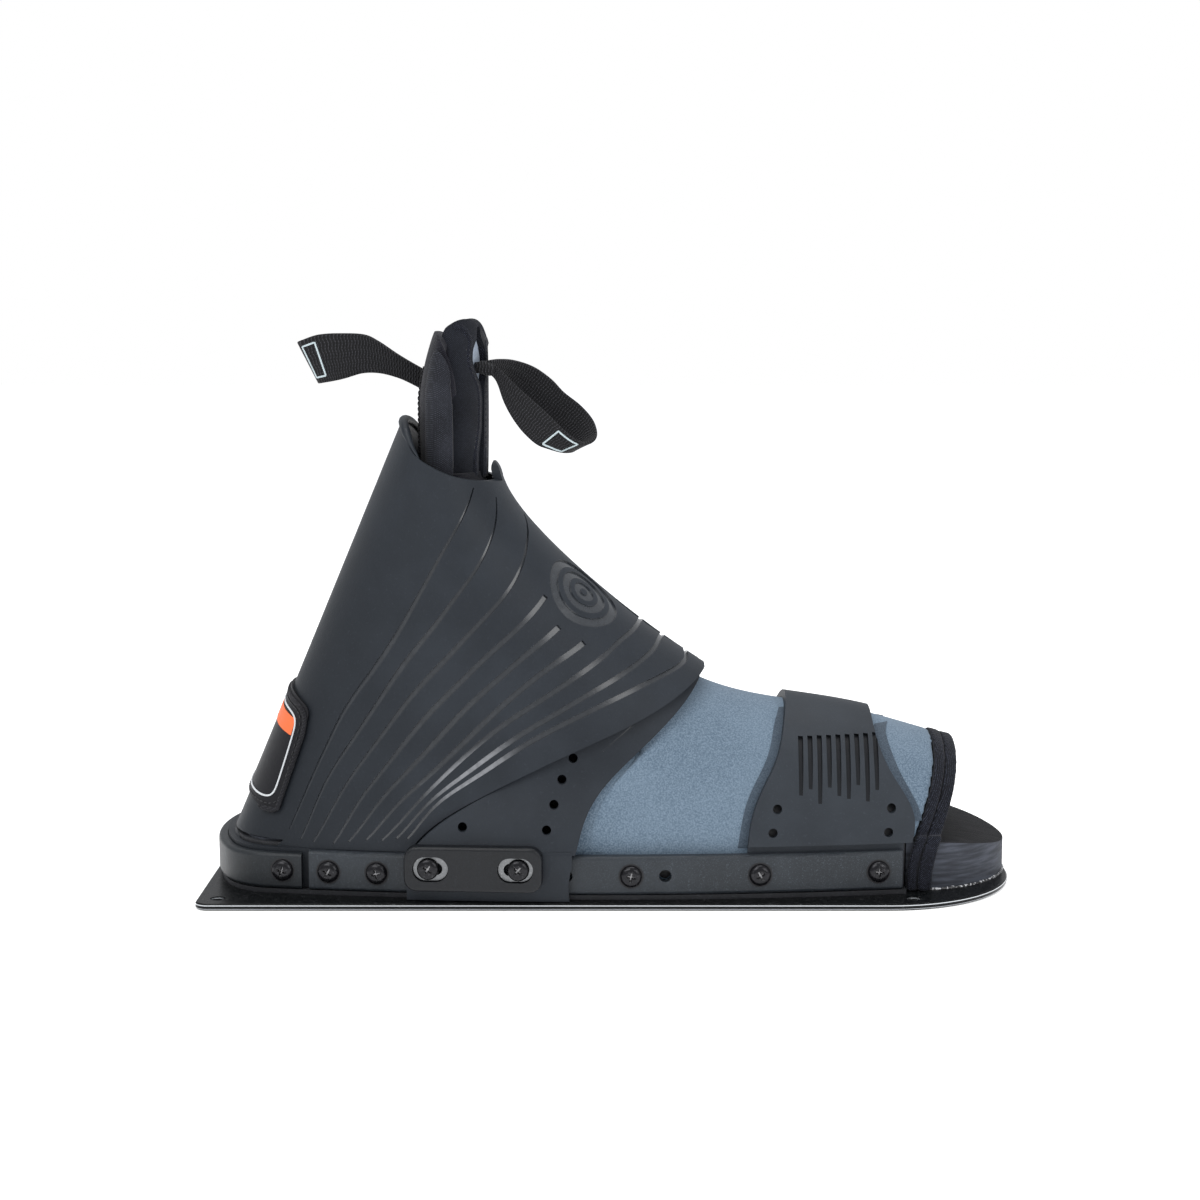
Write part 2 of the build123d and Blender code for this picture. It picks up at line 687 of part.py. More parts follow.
def above(z):
    """Everything above a level."""
    return Pos(0, 0, z) * Box(2 * big, 2 * big, big, align=(Align.CENTER, Align.CENTER, Align.MIN))


def drill(body, places, side):
    """Adjusting holes through one side of a wrap or strap."""
    for x, z in places:
        across = Rot(90, 0, 0) * Cylinder(wrap_hole_diameter / 2, plate_width / 2)
        bore = Pos(x, side * plate_width / 2, z) * across
        body -= bore
    return body


def drill_screws(body):
    """Holes for the side screws through a clamped edge."""
    for frame in side_screw_frames():
        bore = screw_bore(frame)
        body -= bore
        body -= mirrored(bore)
    return body


def clear_of_base(body):
    """Cut away what would sink into the chassis, the footbed or the rails."""
    plan = foot_plan(chassis_inset - ply_gap / 2, big / 2)
    body -= extrude(Pos(0, 0, plate_thickness) * plan, arch_base_z - plate_thickness)
    return body - foot_ring(0, wrap_inset, skirt_base_z, rail_top_z + ply_gap, -big, rail_front_x)


def tail_bores(body, side):
    """Holes in a flap tail for the lock plate's screws."""
    for frame in lock_screw_frames():
        bore = screw_bore(frame)
        body -= bore if side < 0 else mirrored(bore)
    return body


def throat_tab():
    """Small rounded tab that stands up from the rim in front of the tongue."""
    outline = RectangleRounded(throat_tab_width, 2 * throat_tab_width, throat_tab_radius)
    outline = Plane.YZ * (Pos(0, throat_tab_top_z - throat_tab_width) * outline)
    tab = (boot_body(0) - boot_body(wrap_thickness)) & extrude(outline, -big)
    tab &= slab(throat_tab_rear_x, big)
    right = tab & slab(-big, big, -big, 0)
    left = tab & slab(-big, big, 0, big) & above(collar_z)
    return right + left


def outer_wrap():
    """Heel and right wing, crossing the instep to a tail on the left lock plate."""
    shell = (boot_body(0) - boot_body(wrap_thickness)) & below_rim()
    wing = shell & above_wing_edge(0, -1)
    heel = shell & behind(lap_edge_points, 1)
    root = foot_ring(wrap_inset, wrap_inset + wrap_thickness, skirt_base_z, wrap_base_z + root_overlap,
                     -big, wing_edge_points[0][0])
    root -= slab(lap_edge_points[0][0], big, 0, big)
    band = flap_shell(0) & behind(flap_front_points, 1)
    band -= behind(tail_edge_points, 1)
    wrap = clear_of_base(wing + throat_tab() + heel + root + band)
    wrap = drill_screws(drill(wrap, flap_holes, 1))
    return tail_bores(wrap, 1)


def inner_wrap():
    """Left wing, passing under the outer wrap to a tail on the right lock plate."""
    outer = (boot_body(0) - boot_body(wrap_thickness)) & below_rim()
    under = (boot_body(inner_layer) - boot_body(inner_layer + wrap_thickness)) & below_rim()
    both = (boot_body(0) - boot_body(inner_layer + wrap_thickness)) & below_rim()
    lap = [(x + seam_gap, z) for x, z in lap_edge_points]
    edge = [(x - seam_gap, z) for x, z in tail_edge_points]
    step = [(x - seam_gap - lap_width, z) for x, z in tail_edge_points]
    seen = (outer & above_wing_edge(0, 1) & behind(edge, 1)) - behind(lap, 1)
    joint = (both & above_wing_edge(0, 1) & behind(edge, 1)) - behind(step, 1)
    hidden = (under & above_wing_edge(0, 1)) - behind(step, 1)
    root = foot_ring(wrap_inset, wrap_inset + wrap_thickness, skirt_base_z, wrap_base_z + root_overlap,
                     lap_edge_points[0][0] + seam_gap, wing_edge_points[0][0] - lap_width)
    root &= slab(-big, big, 0, big)
    band = flap_shell(inner_layer) & behind(flap_front_points, -1)
    band -= behind(tail_edge_points, -1)
    band -= above_wing_edge(seam_gap, -1) - above(flap_cover_z)
    band -= above_wing_edge(seam_gap, -1) - boot_body(inner_layer)
    wrap = clear_of_base(seen + joint + hidden + root + band)
    wrap = drill_screws(drill(wrap, flap_holes, -1))
    return tail_bores(wrap, -1)


def wraps_room():
    """Space taken by the wraps, which the forefoot pieces keep clear of."""
    cover = behind([(x + wrap_thickness, z) for x, z in flap_front_points]) & above(skirt_top_z + arch_leg)
    return cover - boot_body(liner_layer)


def forefoot_sleeve():
    """Fabric-faced neoprene sleeve over the forefoot, clamped behind the rails."""
    shell = arch_shell(0, sleeve_thickness)
    skirt = foot_ring(sleeve_inset + ply_gap, sleeve_inset + sleeve_root_thickness, skirt_base_z,
                      skirt_top_z, boot_seam_points[0][0], chassis_front_x)
    sleeve = (shell + skirt) & behind(sleeve_edge_points)
    sleeve -= behind(boot_seam_points)
    return drill_screws(sleeve - wraps_room())


def forefoot_liner():
    """Inner neoprene layer of the forefoot, down to the footbed."""
    start = sleeve_thickness + running_gap
    shell = arch_shell(start, start + forefoot_liner_thickness)
    liner = shell & behind([(x - band_gap, z) for x, z in band_edge_points])
    liner -= behind(boot_seam_points)
    return liner - wraps_room()


def toe_band(rear_points, front_points, bulge, depth, foot):
    """Fabric binding round the toe opening, from the plate up over the arch."""
    outer, inner = foot
    front_x = big / 2
    skirt = foot_ring(outer, inner, plate_thickness + running_gap, arch_base_z + cut_margin,
                      band_rear_x, front_x)
    shoulder = foot_ring(outer, sleeve_inset + band_shoulder_depth, arch_base_z,
                         arch_base_z + band_shoulder, band_rear_x, front_x)
    band = (arch_shell(-bulge, depth) + skirt + shoulder) & behind(front_points)
    return band - behind(rear_points)


def sleeve_binding():
    """Binding of the sleeve's toe edge."""
    rear = [(x + band_gap, z) for x, z in sleeve_edge_points]
    front = [(x - band_gap, z) for x, z in band_edge_points]
    return toe_band(rear, front, sleeve_binding_bulge, sleeve_thickness, sleeve_binding_foot)


def liner_binding():
    """Binding of the inner layer's toe edge, just in front of the sleeve's."""
    return toe_band(band_edge_points, toe_edge_points, liner_binding_bulge, liner_binding_depth,
                    liner_binding_foot)


def toe_strap():
    """Rubber strap over the forefoot, wide at its clamped roots."""
    reach = running_gap + strap_thickness
    shell = arch_shell(-reach, -running_gap)
    roots = foot_ring(strap_root_inset, strap_root_inset + strap_root_thickness, skirt_base_z,
                      arch_base_z + strap_root_overlap, 0, rail_front_x + cut_margin)
    strap = (shell + roots) & behind(strap_front_points)
    strap -= behind(strap_rear_points)
    for side in (-1, 1):
        strap = drill(strap, strap_holes, side)
    return drill_screws(strap)


def liner_body(inset):
    """Solid inside the heel liner's outer surface."""
    return loft([egg(z, rear + inset, front - inset, wide, half - inset)
                 for z, rear, front, wide, half in liner_sections])


def heel_liner():
    """Neoprene bootie around heel and ankle, with an upstand behind the ankle."""
    bootie = liner_body(0) - liner_body(liner_thickness)
    bootie -= above(tongue_fold_z - fold_gap)
    bootie &= behind([(x - seam_gap, z) for x, z in boot_seam_points + (boot_seam_end,)])
    bootie &= boot_body(liner_layer, inner_layer)
    return bootie + tab_shell(collar_z + upstand_overlap, tab_fold_z - fold_gap)


def half_tube(centre_x, run, half_width, thickness, low_z, high_z):
    """Curved panel: half an elliptical tube, behind its centre (run < 0) or in front of it."""
    ring = Ellipse(abs(run), half_width) - Ellipse(abs(run) - thickness, half_width - thickness)
    side = Align.MAX if run < 0 else Align.MIN
    ring &= Rectangle(big, big, align=(side, Align.CENTER))
    return extrude(Pos(centre_x, 0, low_z) * ring, high_z - low_z)


def tab_shell(low_z, high_z):
    """Rear panel of the liner's collar."""
    return half_tube(tab_centre_x, -tab_run, tab_half_width, tab_thickness, low_z, high_z)


def heel_tab():
    """Free end of the liner behind the ankle, with rounded top corners and sewn webbing."""
    panel = tab_shell(tab_fold_z, tab_top_z)
    first, last = tab_crown_points[0], tab_crown_points[-1]
    under, rear_x = tab_fold_z - cut_margin, -big
    crown = [Spline(*tab_crown_points),
             Polyline(last, (rear_x, tab_top_z), (rear_x, under), (first[0], under), first)]
    panel &= side_prism(crown)
    webbing = half_tube(tab_centre_x, -(tab_run + webbing_thickness), tab_half_width + webbing_thickness,
                        2 * webbing_thickness, anchor_base_z, anchor_top_z)
    return panel + (webbing & slab(-big, tab_centre_x, -webbing_width / 2, webbing_width / 2))


def tongue():
    """Free end of the tongue in front of the shin, rounded at the top."""
    panel = half_tube(tongue_centre_x, tongue_run, tongue_half_width, tongue_thickness,
                      tongue_fold_z, tongue_top_z)
    first, last = tongue_crown_points[0], tongue_crown_points[-1]
    under = tongue_fold_z - cut_margin
    crown = [Spline(*tongue_crown_points), Polyline(last, (last[0], under), (first[0], under), first)]
    return panel & side_prism(crown)


def on_circle(centre, radius, turn):
    """Point of a circle and its anticlockwise direction there, at an angle in degrees."""
    c, s = math.cos(math.radians(turn)), math.sin(math.radians(turn))
    return (centre[0] + radius * c, centre[1] + radius * s), (-s, c)


def pull_loop(root, radius, start, end, points, spread, hollow):
    """Webbing loop: two plies that meet at the far fold and at a round root, where it swings.

    Its outline leaves the root's circle at the angle start and comes back to it at end.
    """
    leave, away = on_circle(root, radius, start)
    back, inwards = on_circle(root, radius, end)
    if end > start:
        away, inwards = [(-x, -z) for x, z in (away, inwards)]
    closed_side = on_circle(root, radius, 180 if end > start else 0)[0]
    round_end = ThreePointArc(back, closed_side, leave)
    edge = [Spline(leave, *points, back, tangents=[away, inwards]), round_end]
    loop = extrude(Plane.XZ * make_face(edge), spread / 2, both=True)
    low_x, high_x = hollow
    return loop - slab(low_x, high_x, webbing_thickness - spread / 2, spread / 2 - webbing_thickness)


def rear_pull_loop():
    """Webbing loop behind the heel tab."""
    root_x = tab_centre_x - tab_run - webbing_thickness - running_gap - rear_root_radius
    return pull_loop((root_x, rear_root_z), rear_root_radius, 90, -90, rear_loop_points,
                     rear_loop_spread, rear_loop_hollow)


def front_pull_loop():
    """Webbing loop in front of the tongue."""
    root_x = tongue_centre_x + tongue_run + running_gap + front_root_radius
    return pull_loop((root_x, front_root_z), front_root_radius, 90, front_root_turn, front_loop_points,
                     front_loop_spread, front_loop_hollow)


def heel_patch():
    """Stitched rectangular patch wrapped round the heel."""
    skin = boot_body(-patch_gap - patch_thickness) - boot_body(-patch_gap)
    face = make_face(Polyline(*patch_corners, close=True))
    face = fillet(face.vertices(), patch_corner_radius)
    return skin & extrude(Plane.XZ * face, big, both=True)


# ============================ build ==========================================================

right_pieces = {
    "side_rail_right": side_rail_right,
    "lock_plate_right": lock_plate_right,
    "slot_washers_right": slot_washers_right,
    "rail_screws_right": rail_screws_right,
    "lock_screws_right": lock_screws_right,
}
single_pieces = {
    "base_plate": base_plate,
    "chassis": chassis,
    "threaded_inserts": threaded_inserts,
    "chassis_screws": chassis_screws,
    "footbed": footbed,
    "heel_clamp": heel_clamp,
    "heel_clamp_screws": heel_clamp_screws,
    "outer_wrap": outer_wrap,
    "inner_wrap": inner_wrap,
    "forefoot_sleeve": forefoot_sleeve,
    "forefoot_liner": forefoot_liner,
    "sleeve_binding": sleeve_binding,
    "liner_binding": liner_binding,
    "toe_strap": toe_strap,
    "heel_liner": heel_liner,
    "heel_tab": heel_tab,
    "tongue": tongue,
    "rear_pull_loop": rear_pull_loop,
    "front_pull_loop": front_pull_loop,
    "heel_patch": heel_patch,
}


def write(name, shape):
    """Write one node's STEP file."""
    export_step(shape, f"parts/{name}.step")


def main():
    """Build every node; left-hand pieces are mirrored from the right-hand ones."""
    for name, make in single_pieces.items():
        write(name, make())
    for name, make in right_pieces.items():
        shape = make()
        write(name, shape)
        write(name.replace("right", "left"), mirrored(shape))


if __name__ == "__main__":
    main()
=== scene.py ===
"""Waterski binding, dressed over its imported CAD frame.

Metres, +X towards the toes, +Y to the wearer's left, +Z up. "Right" pieces lie on -Y.
"""

import logging
import math
from dataclasses import dataclass
from enum import Enum
from typing import Callable, Iterable, Optional, Sequence

import bpy
import numpy as np
from mathutils import Matrix, Vector
from mathutils.bvhtree import BVHTree


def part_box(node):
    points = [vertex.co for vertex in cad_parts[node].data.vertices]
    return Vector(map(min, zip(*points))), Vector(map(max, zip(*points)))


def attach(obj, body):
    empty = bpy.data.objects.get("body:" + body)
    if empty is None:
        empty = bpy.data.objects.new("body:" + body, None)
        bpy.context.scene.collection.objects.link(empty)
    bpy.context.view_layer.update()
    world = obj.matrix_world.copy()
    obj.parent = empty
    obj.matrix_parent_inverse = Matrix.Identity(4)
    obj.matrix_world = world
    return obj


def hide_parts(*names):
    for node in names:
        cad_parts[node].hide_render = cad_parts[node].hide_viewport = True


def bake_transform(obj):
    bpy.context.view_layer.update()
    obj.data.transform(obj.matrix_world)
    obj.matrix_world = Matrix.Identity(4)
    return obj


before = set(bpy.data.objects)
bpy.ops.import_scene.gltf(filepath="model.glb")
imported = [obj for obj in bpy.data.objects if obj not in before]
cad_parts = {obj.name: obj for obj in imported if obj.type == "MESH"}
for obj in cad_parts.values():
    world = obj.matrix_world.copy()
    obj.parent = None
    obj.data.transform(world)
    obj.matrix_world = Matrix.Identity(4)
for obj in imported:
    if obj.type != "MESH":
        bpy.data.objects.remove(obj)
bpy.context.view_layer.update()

logging.basicConfig(level=logging.INFO, format="%(message)s")
log = logging.getLogger("binding")

MM = 0.001
# The boot's spine: where its foot is, and how far it leans back as it rises.
SPINE_X, SPINE_Z, SPINE_LEAN = -0.060, 0.020, 0.1
Point = tuple[float, float, float]
Colour = tuple[float, float, float]
Hit = tuple[Vector, Vector]
Path = Sequence[Hit]
Obj = bpy.types.Object


# ---------------------------------------------------------------- shader maths


def _two_values(operation: str) -> tuple[Callable, Callable]:
    """Methods of Sock for one Math operation on two values.

    Args:
        operation: the Math node's operation.

    Returns:
        The method itself, and its reflection with the values swapped.
    """

    def straight(self: "Sock", other: object) -> "Sock":
        """This value first, the other second."""
        return self.maths(operation, self, other)

    def reflected(self: "Sock", other: object) -> "Sock":
        """The other value first, this one second."""
        return self.maths(operation, other, self)

    return straight, reflected


class Sock:
    """A shader socket that takes part in Python arithmetic."""

    def __init__(self, shader: "Shader", out: bpy.types.NodeSocket) -> None:
        """Wraps an output socket.

        Args:
            shader: the material being built.
            out: the output socket.
        """
        self.shader = shader
        self.out = out

    def maths(self, operation: str, *values: object) -> "Sock":
        """Adds one Math node.

        Args:
            operation: the node's operation.
            values: its inputs, as sockets or numbers.

        Returns:
            The node's result.
        """
        return self.shader.node("ShaderNodeMath", {"operation": operation}, dict(enumerate(values)))

    __add__, __radd__ = _two_values("ADD")
    __sub__, __rsub__ = _two_values("SUBTRACT")
    __mul__, __rmul__ = _two_values("MULTIPLY")
    __truediv__, _ = _two_values("DIVIDE")
    at_least, _ = _two_values("MAXIMUM")

    def abs(self) -> "Sock":
        """Absolute value."""
        return self.maths("ABSOLUTE", self)

    def sin(self) -> "Sock":
        """Sine."""
        return self.maths("SINE", self)

    def step(self, low: float, high: float) -> "Sock":
        """Smooth step from 0 at low to 1 at high.

        Args:
            low: where the result is 0.
            high: where the result is 1.

        Returns:
            The clamped, smoothed value.
        """
        return self.shader.node(
            "ShaderNodeMapRange",
            {"interpolation_type": "SMOOTHSTEP", "clamp": True},
            {"Value": self, "From Min": low, "From Max": high},
        )


class Shader:
    """Builds one material's node tree round a Principled BSDF."""

    def __init__(self, name: str) -> None:
        """Starts an empty tree with a Principled BSDF.

        Args:
            name: the material's name.
        """
        self.material = bpy.data.materials.new(name)
        self.material.use_nodes = True
        self.tree = self.material.node_tree
        self.tree.nodes.clear()
        self.bsdf = self.tree.nodes.new("ShaderNodeBsdfPrincipled")
        output = self.tree.nodes.new("ShaderNodeOutputMaterial")
        self.tree.links.new(self.bsdf.outputs[0], output.inputs["Surface"])

    def node(
        self,
        kind: str,
        settings: Optional[dict] = None,
        inputs: Optional[dict] = None,
        output: object = 0,
    ) -> Sock:
        """Adds a node.

        Args:
            kind: the node's type name.
            settings: attributes of the node.
            inputs: values or links, by socket name or index.
            output: name or index of the wanted output.

        Returns:
            The wanted output socket.
        """
        made = self.tree.nodes.new(kind)
        for key, value in (settings or {}).items():
            setattr(made, key, value)
        for key, value in (inputs or {}).items():
            self.put(made.inputs[key], value)
        return Sock(self, made.outputs[output])

    def put(self, socket: bpy.types.NodeSocket, value: object) -> None:
        """Links a Sock to an input, or sets its value.

        Args:
            socket: the input.
            value: a Sock, a number or a tuple.
        """
        if isinstance(value, Sock):
            self.tree.links.new(value.out, socket)
        elif isinstance(value, tuple) and len(value) == 3 and socket.type == "RGBA":
            socket.default_value = (*value, 1.0)
        else:
            socket.default_value = value

    def set(self, **values: object) -> "Shader":
        """Sets inputs of the Principled BSDF, with _ for a space in their names."""
        for key, value in values.items():
            self.put(self.bsdf.inputs[key.replace("_", " ")], value)
        return self

    def place(self) -> Sock:
        """Object coordinates."""
        return self.node("ShaderNodeTexCoord", output="Object")

    def axes(self, source: Sock) -> tuple[Sock, Sock, Sock]:
        """Splits a vector into its three parts."""
        made = self.tree.nodes.new("ShaderNodeSeparateXYZ")
        self.put(made.inputs[0], source)
        return tuple(Sock(self, made.outputs[i]) for i in range(3))

    def cloth_mm(self) -> tuple[Sock, Sock]:
        """The piece's own UV map, in millimetres across and along it."""
        across, along, _ = self.axes(self.node("ShaderNodeTexCoord", output="UV"))
        return across, along

    def noise(self, scale: float, detail: float = 2.0, stretch: Optional[Point] = None) -> Sock:
        """Noise on Object coordinates.

        Args:
            scale: cells in a metre.
            detail: octaves.
            stretch: scale of each axis before the noise.

        Returns:
            A value round 0.5.
        """
        where = self.place()
        if stretch:
            where = self.node("ShaderNodeMapping", {}, {"Vector": where, "Scale": stretch})
        return self.node("ShaderNodeTexNoise", {}, {"Vector": where, "Scale": scale, "Detail": detail})

    def mix(self, share: object, first: object, second: object) -> Sock:
        """Mix of two colours.

        Args:
            share: 0 for the first, 1 for the second.
            first: colour or Sock.
            second: colour or Sock.

        Returns:
            The mixed colour.
        """
        factor, colour_a, colour_b, colour_result = 0, 6, 7, 2
        return self.node("ShaderNodeMix", {"data_type": "RGBA"},
                         {factor: share, colour_a: first, colour_b: second}, colour_result)

    def bump(self, height: Sock, depth_mm: float, under: Optional[Sock] = None) -> Sock:
        """Bump from a height of 0 to 1.

        Args:
            height: the height.
            depth_mm: how deep a height of 1 is.
            under: a normal that this bump adds to.

        Returns:
            The bumped normal.
        """
        inputs = {"Height": height, "Distance": depth_mm * MM, "Strength": 1.0}
        if under is not None:
            inputs["Normal"] = under
        return self.node("ShaderNodeBump", {}, inputs)


# ---------------------------------------------------------------- finishes


def tint(colour: Colour, factor: float) -> Colour:
    """A colour made darker or lighter by a factor."""
    return tuple(part * factor for part in colour)


_finishes: dict[object, bpy.types.Material] = {}


@dataclass(frozen=True)
class Finish:
    """A procedural finish; material() makes it once."""

    name: str

    def build(self, shader: Shader) -> None:
        """Adds the nodes. Each finish has its own."""
        raise NotImplementedError

    def material(self) -> bpy.types.Material:
        """The Blender material of this finish."""
        if self not in _finishes:
            shader = Shader(self.name)
            self.build(shader)
            _finishes[self] = shader.material
        return _finishes[self]


@dataclass(frozen=True)
class MouldedRubber(Finish):
    """Satin natural rubber with a chalky bloom, and painted shade towards the heel when heel_shade is set."""

    colour: Colour = (0.020, 0.024, 0.030)
    roughness: float = 0.48
    # x where the painted shade towards the heel ends; 0 for none.
    heel_shade: float = 0.0

    def build(self, shader: Shader) -> None:
        """Adds the nodes."""
        bloom = shader.noise(38.0, 4.0)
        dust = shader.noise(900.0, 2.0)
        grain = shader.noise(5200.0, 1.0)
        lighter = tint(self.colour, 1.15)
        darker = tint(self.colour, 0.66)
        shade = 0.35 + 0.65 * bloom.step(0.25, 0.80)
        # Painted shade: darker towards the heel, down to 0.16 of the colour at x = -0.145 m, where the heel
        # turns away from the lamps.
        if self.heel_shade:
            x, _, _ = shader.axes(shader.place())
            shade = shade * (0.16 + 0.84 * x.step(-0.145, self.heel_shade))
        colour = shader.mix(shade, darker, lighter)
        colour = shader.mix(dust.step(0.60, 0.76) * 0.30, colour, tint(self.colour, 1.7))
        shader.set(
            Base_Color=colour,
            Roughness=self.roughness - 0.10 + 0.20 * bloom,
            Normal=shader.bump(grain, 0.035, shader.bump(dust, 0.05)),
            Specular_IOR_Level=0.17,
        )


@dataclass(frozen=True)
class GrooveFloor(Finish):
    """Polished floor of a moulded groove, with a painted highlight in one patch of floor."""

    def build(self, shader: Shader) -> None:
        """Adds the nodes."""
        streak = shader.noise(420.0, 2.0)
        x, _, z = shader.axes(shader.place())
        # Painted highlight: an oblong pale patch of floor colour round x = -60 mm, z = 55 mm.
        along = (x + 0.060) * 0.843 + (z - 0.055) * 0.538
        across = (z - 0.055) * 0.843 - (x + 0.060) * 0.538
        painted_highlight = (1.0 - along.abs().step(0.006, 0.027)) * (1.0 - across.abs().step(0.006, 0.011))
        # Random lighter and darker tone along the floors; streak also varies the painted highlight's
        # strength.
        worn = shader.mix(streak, (0.014, 0.017, 0.021), (0.030, 0.035, 0.042))
        shader.set(
            Base_Color=shader.mix(painted_highlight * (0.4 + 0.6 * streak), worn, (0.36, 0.37, 0.39)),
            Roughness=0.13 + 0.16 * streak,
            Specular_IOR_Level=0.75,
        )


@dataclass(frozen=True)
class GrainedNylon(Finish):
    """Glass-filled nylon with a sparkling spark-eroded grain."""

    colour: Colour = (0.024, 0.029, 0.035)
    roughness: float = 0.30

    def build(self, shader: Shader) -> None:
        """Adds the nodes."""
        grain = shader.noise(2600.0, 2.0)
        fleck = shader.noise(3400.0, 0.0)
        scuff = shader.noise(60.0, 5.0)
        colour = shader.mix(scuff.step(0.35, 0.70), tint(self.colour, 0.78), self.colour)
        # Painted glints: lighter specks in the base colour for the grain's sparkle.
        colour = shader.mix(fleck.step(0.66, 0.76) * 0.6, colour, tint(self.colour, 3.4))
        shader.set(
            Base_Color=colour,
            Roughness=self.roughness + 0.22 * grain + 0.08 * scuff,
            Normal=shader.bump(grain, 0.10),
            Specular_IOR_Level=0.30,
        )


@dataclass(frozen=True)
class MelangeJersey(Finish):
    """Blue-grey jersey laminated on neoprene, with a salt-and-pepper fleck."""

    light: Colour = (0.160, 0.215, 0.272)
    dark: Colour = (0.072, 0.108, 0.152)

    def build(self, shader: Shader) -> None:
        """Adds the nodes."""
        fleck = shader.noise(1500.0, 3.0)
        fuzz = shader.noise(4200.0, 1.0)
        patch = shader.noise(26.0, 3.0)
        colour = shader.mix(fleck.step(0.28, 0.72), self.dark, self.light)
        faded = shader.mix(patch.step(0.3, 0.8) * 0.35, colour, tint(self.light, 1.12))
        shader.set(
            Base_Color=faded,
            Roughness=0.86 + 0.1 * fuzz,
            Normal=shader.bump(fuzz, 0.10, shader.bump(fleck, 0.10)),
            Specular_IOR_Level=0.15,
            Sheen_Weight=0.12,
            Sheen_Roughness=0.5,
        )


@dataclass(frozen=True)
class BlackJersey(Finish):
    """Knitted face of neoprene: fine wales, with painted glints in a cool fleck colour on the knit's crests.
    """

    colour: Colour = (0.008, 0.008, 0.011)
    # Colour of the painted glints.
    fleck: Colour = (0.045, 0.048, 0.066)

    def build(self, shader: Shader) -> None:
        """Adds the nodes."""
        x, y, z = shader.axes(shader.place())
        wale = ((x + y * 0.8) * (2 * math.pi / 0.0011)).sin()
        course = (z * (2 * math.pi / 0.0009)).sin()
        knit = (wale * course) * 0.5 + 0.5
        pill = shader.noise(2200.0, 2.0)
        wash = shader.noise(70.0, 3.0)
        # Painted glints: the knit's crests, broken up by the pill noise, turn towards the fleck colour.
        glint = (knit * pill).step(0.28, 0.56)
        base = shader.mix(wash.step(0.3, 0.7), tint(self.colour, 0.8), tint(self.colour, 1.35))
        shader.set(
            Base_Color=shader.mix(glint * 0.55, base, self.fleck),
            Roughness=0.74 + 0.2 * pill,
            Normal=shader.bump(knit, 0.16, shader.bump(pill, 0.10)),
            Specular_IOR_Level=0.12,
            Sheen_Weight=0.08,
            Sheen_Roughness=0.45,
        )


@dataclass(frozen=True)
class RibbedWebbing(Finish):
    """Polyester webbing: ribs across it and a bead along each edge."""

    colour: Colour = (0.011, 0.011, 0.013)
    rib_mm: float = 1.35

    def build(self, shader: Shader) -> None:
        """Adds the nodes."""
        across, along = shader.cloth_mm()
        zig = (across * (math.pi / 1.9)).sin() * 0.16
        rib = ((along / self.rib_mm + zig) * (2 * math.pi)).sin() * 0.5 + 0.5
        warp = (across * (2 * math.pi / 1.05)).sin() * 0.5 + 0.5
        weave = rib * 0.72 + warp * rib * 0.28
        hair = shader.noise(2600.0, 2.0)
        # Painted light: the ribs' crests are painted lighter and their hollows darker.
        lit_crest = (weave * (hair + 0.45)).step(0.50, 0.95)
        shader.set(
            Base_Color=shader.mix(lit_crest, tint(self.colour, 0.45), tint(self.colour, 2.9)),
            Roughness=0.72 - 0.20 * lit_crest,
            Normal=shader.bump(weave, 0.55, shader.bump(hair, 0.08)),
            Specular_IOR_Level=0.22,
            Sheen_Weight=0.05,
        )


@dataclass(frozen=True)
class TurnedMetal(Finish):
    """Small metal hardware, with handling marks."""

    colour: Colour = (0.55, 0.56, 0.58)
    metallic: float = 1.0
    roughness: float = 0.28
    wear: Colour = (0.75, 0.76, 0.78)
    worn: float = 0.2

    def build(self, shader: Shader) -> None:
        """Adds the nodes."""
        mark = shader.noise(1100.0, 4.0)
        haze = shader.noise(240.0, 3.0)
        shader.set(
            Base_Color=shader.mix(mark.step(0.55, 0.78) * self.worn, self.colour, self.wear),
            Metallic=self.metallic,
            Roughness=self.roughness - 0.06 + 0.16 * haze,
            Normal=shader.bump(mark, 0.012),
        )


@dataclass(frozen=True)
class AnodisedPlate(Finish):
    """Black anodised plate with a polished, bare outer edge and fine grit on top."""

    def build(self, shader: Shader) -> None:
        """Adds the nodes."""
        _, _, nz = shader.axes(shader.node("ShaderNodeNewGeometry", output="Normal"))
        edge = 1.0 - nz.abs().step(0.25, 0.62)
        scratch = shader.noise(150.0, 4.0, (1.0, 14.0, 1.0))
        grit = shader.noise(1500.0, 1.0)
        _, _, z = shader.axes(shader.place())
        upper = z.step(0.0019, 0.0021) * (1.0 - z.step(0.0024, 0.0026))
        lower = z.step(0.0003, 0.0005) * (1.0 - z.step(0.0007, 0.0009))
        lit = edge * upper.at_least(lower * 0.8)
        top = shader.mix(grit.step(0.66, 0.74) * 0.5, (0.0035, 0.004, 0.0045), (0.14, 0.145, 0.15))
        shader.set(
            Base_Color=shader.mix(lit, top, (0.50, 0.52, 0.54)),
            Metallic=lit,
            Roughness=0.14 + 0.16 * scratch + 0.18 * (1.0 - edge) * grit,
            Normal=shader.bump(scratch, 0.012),
            Specular_IOR_Level=0.12,
        )


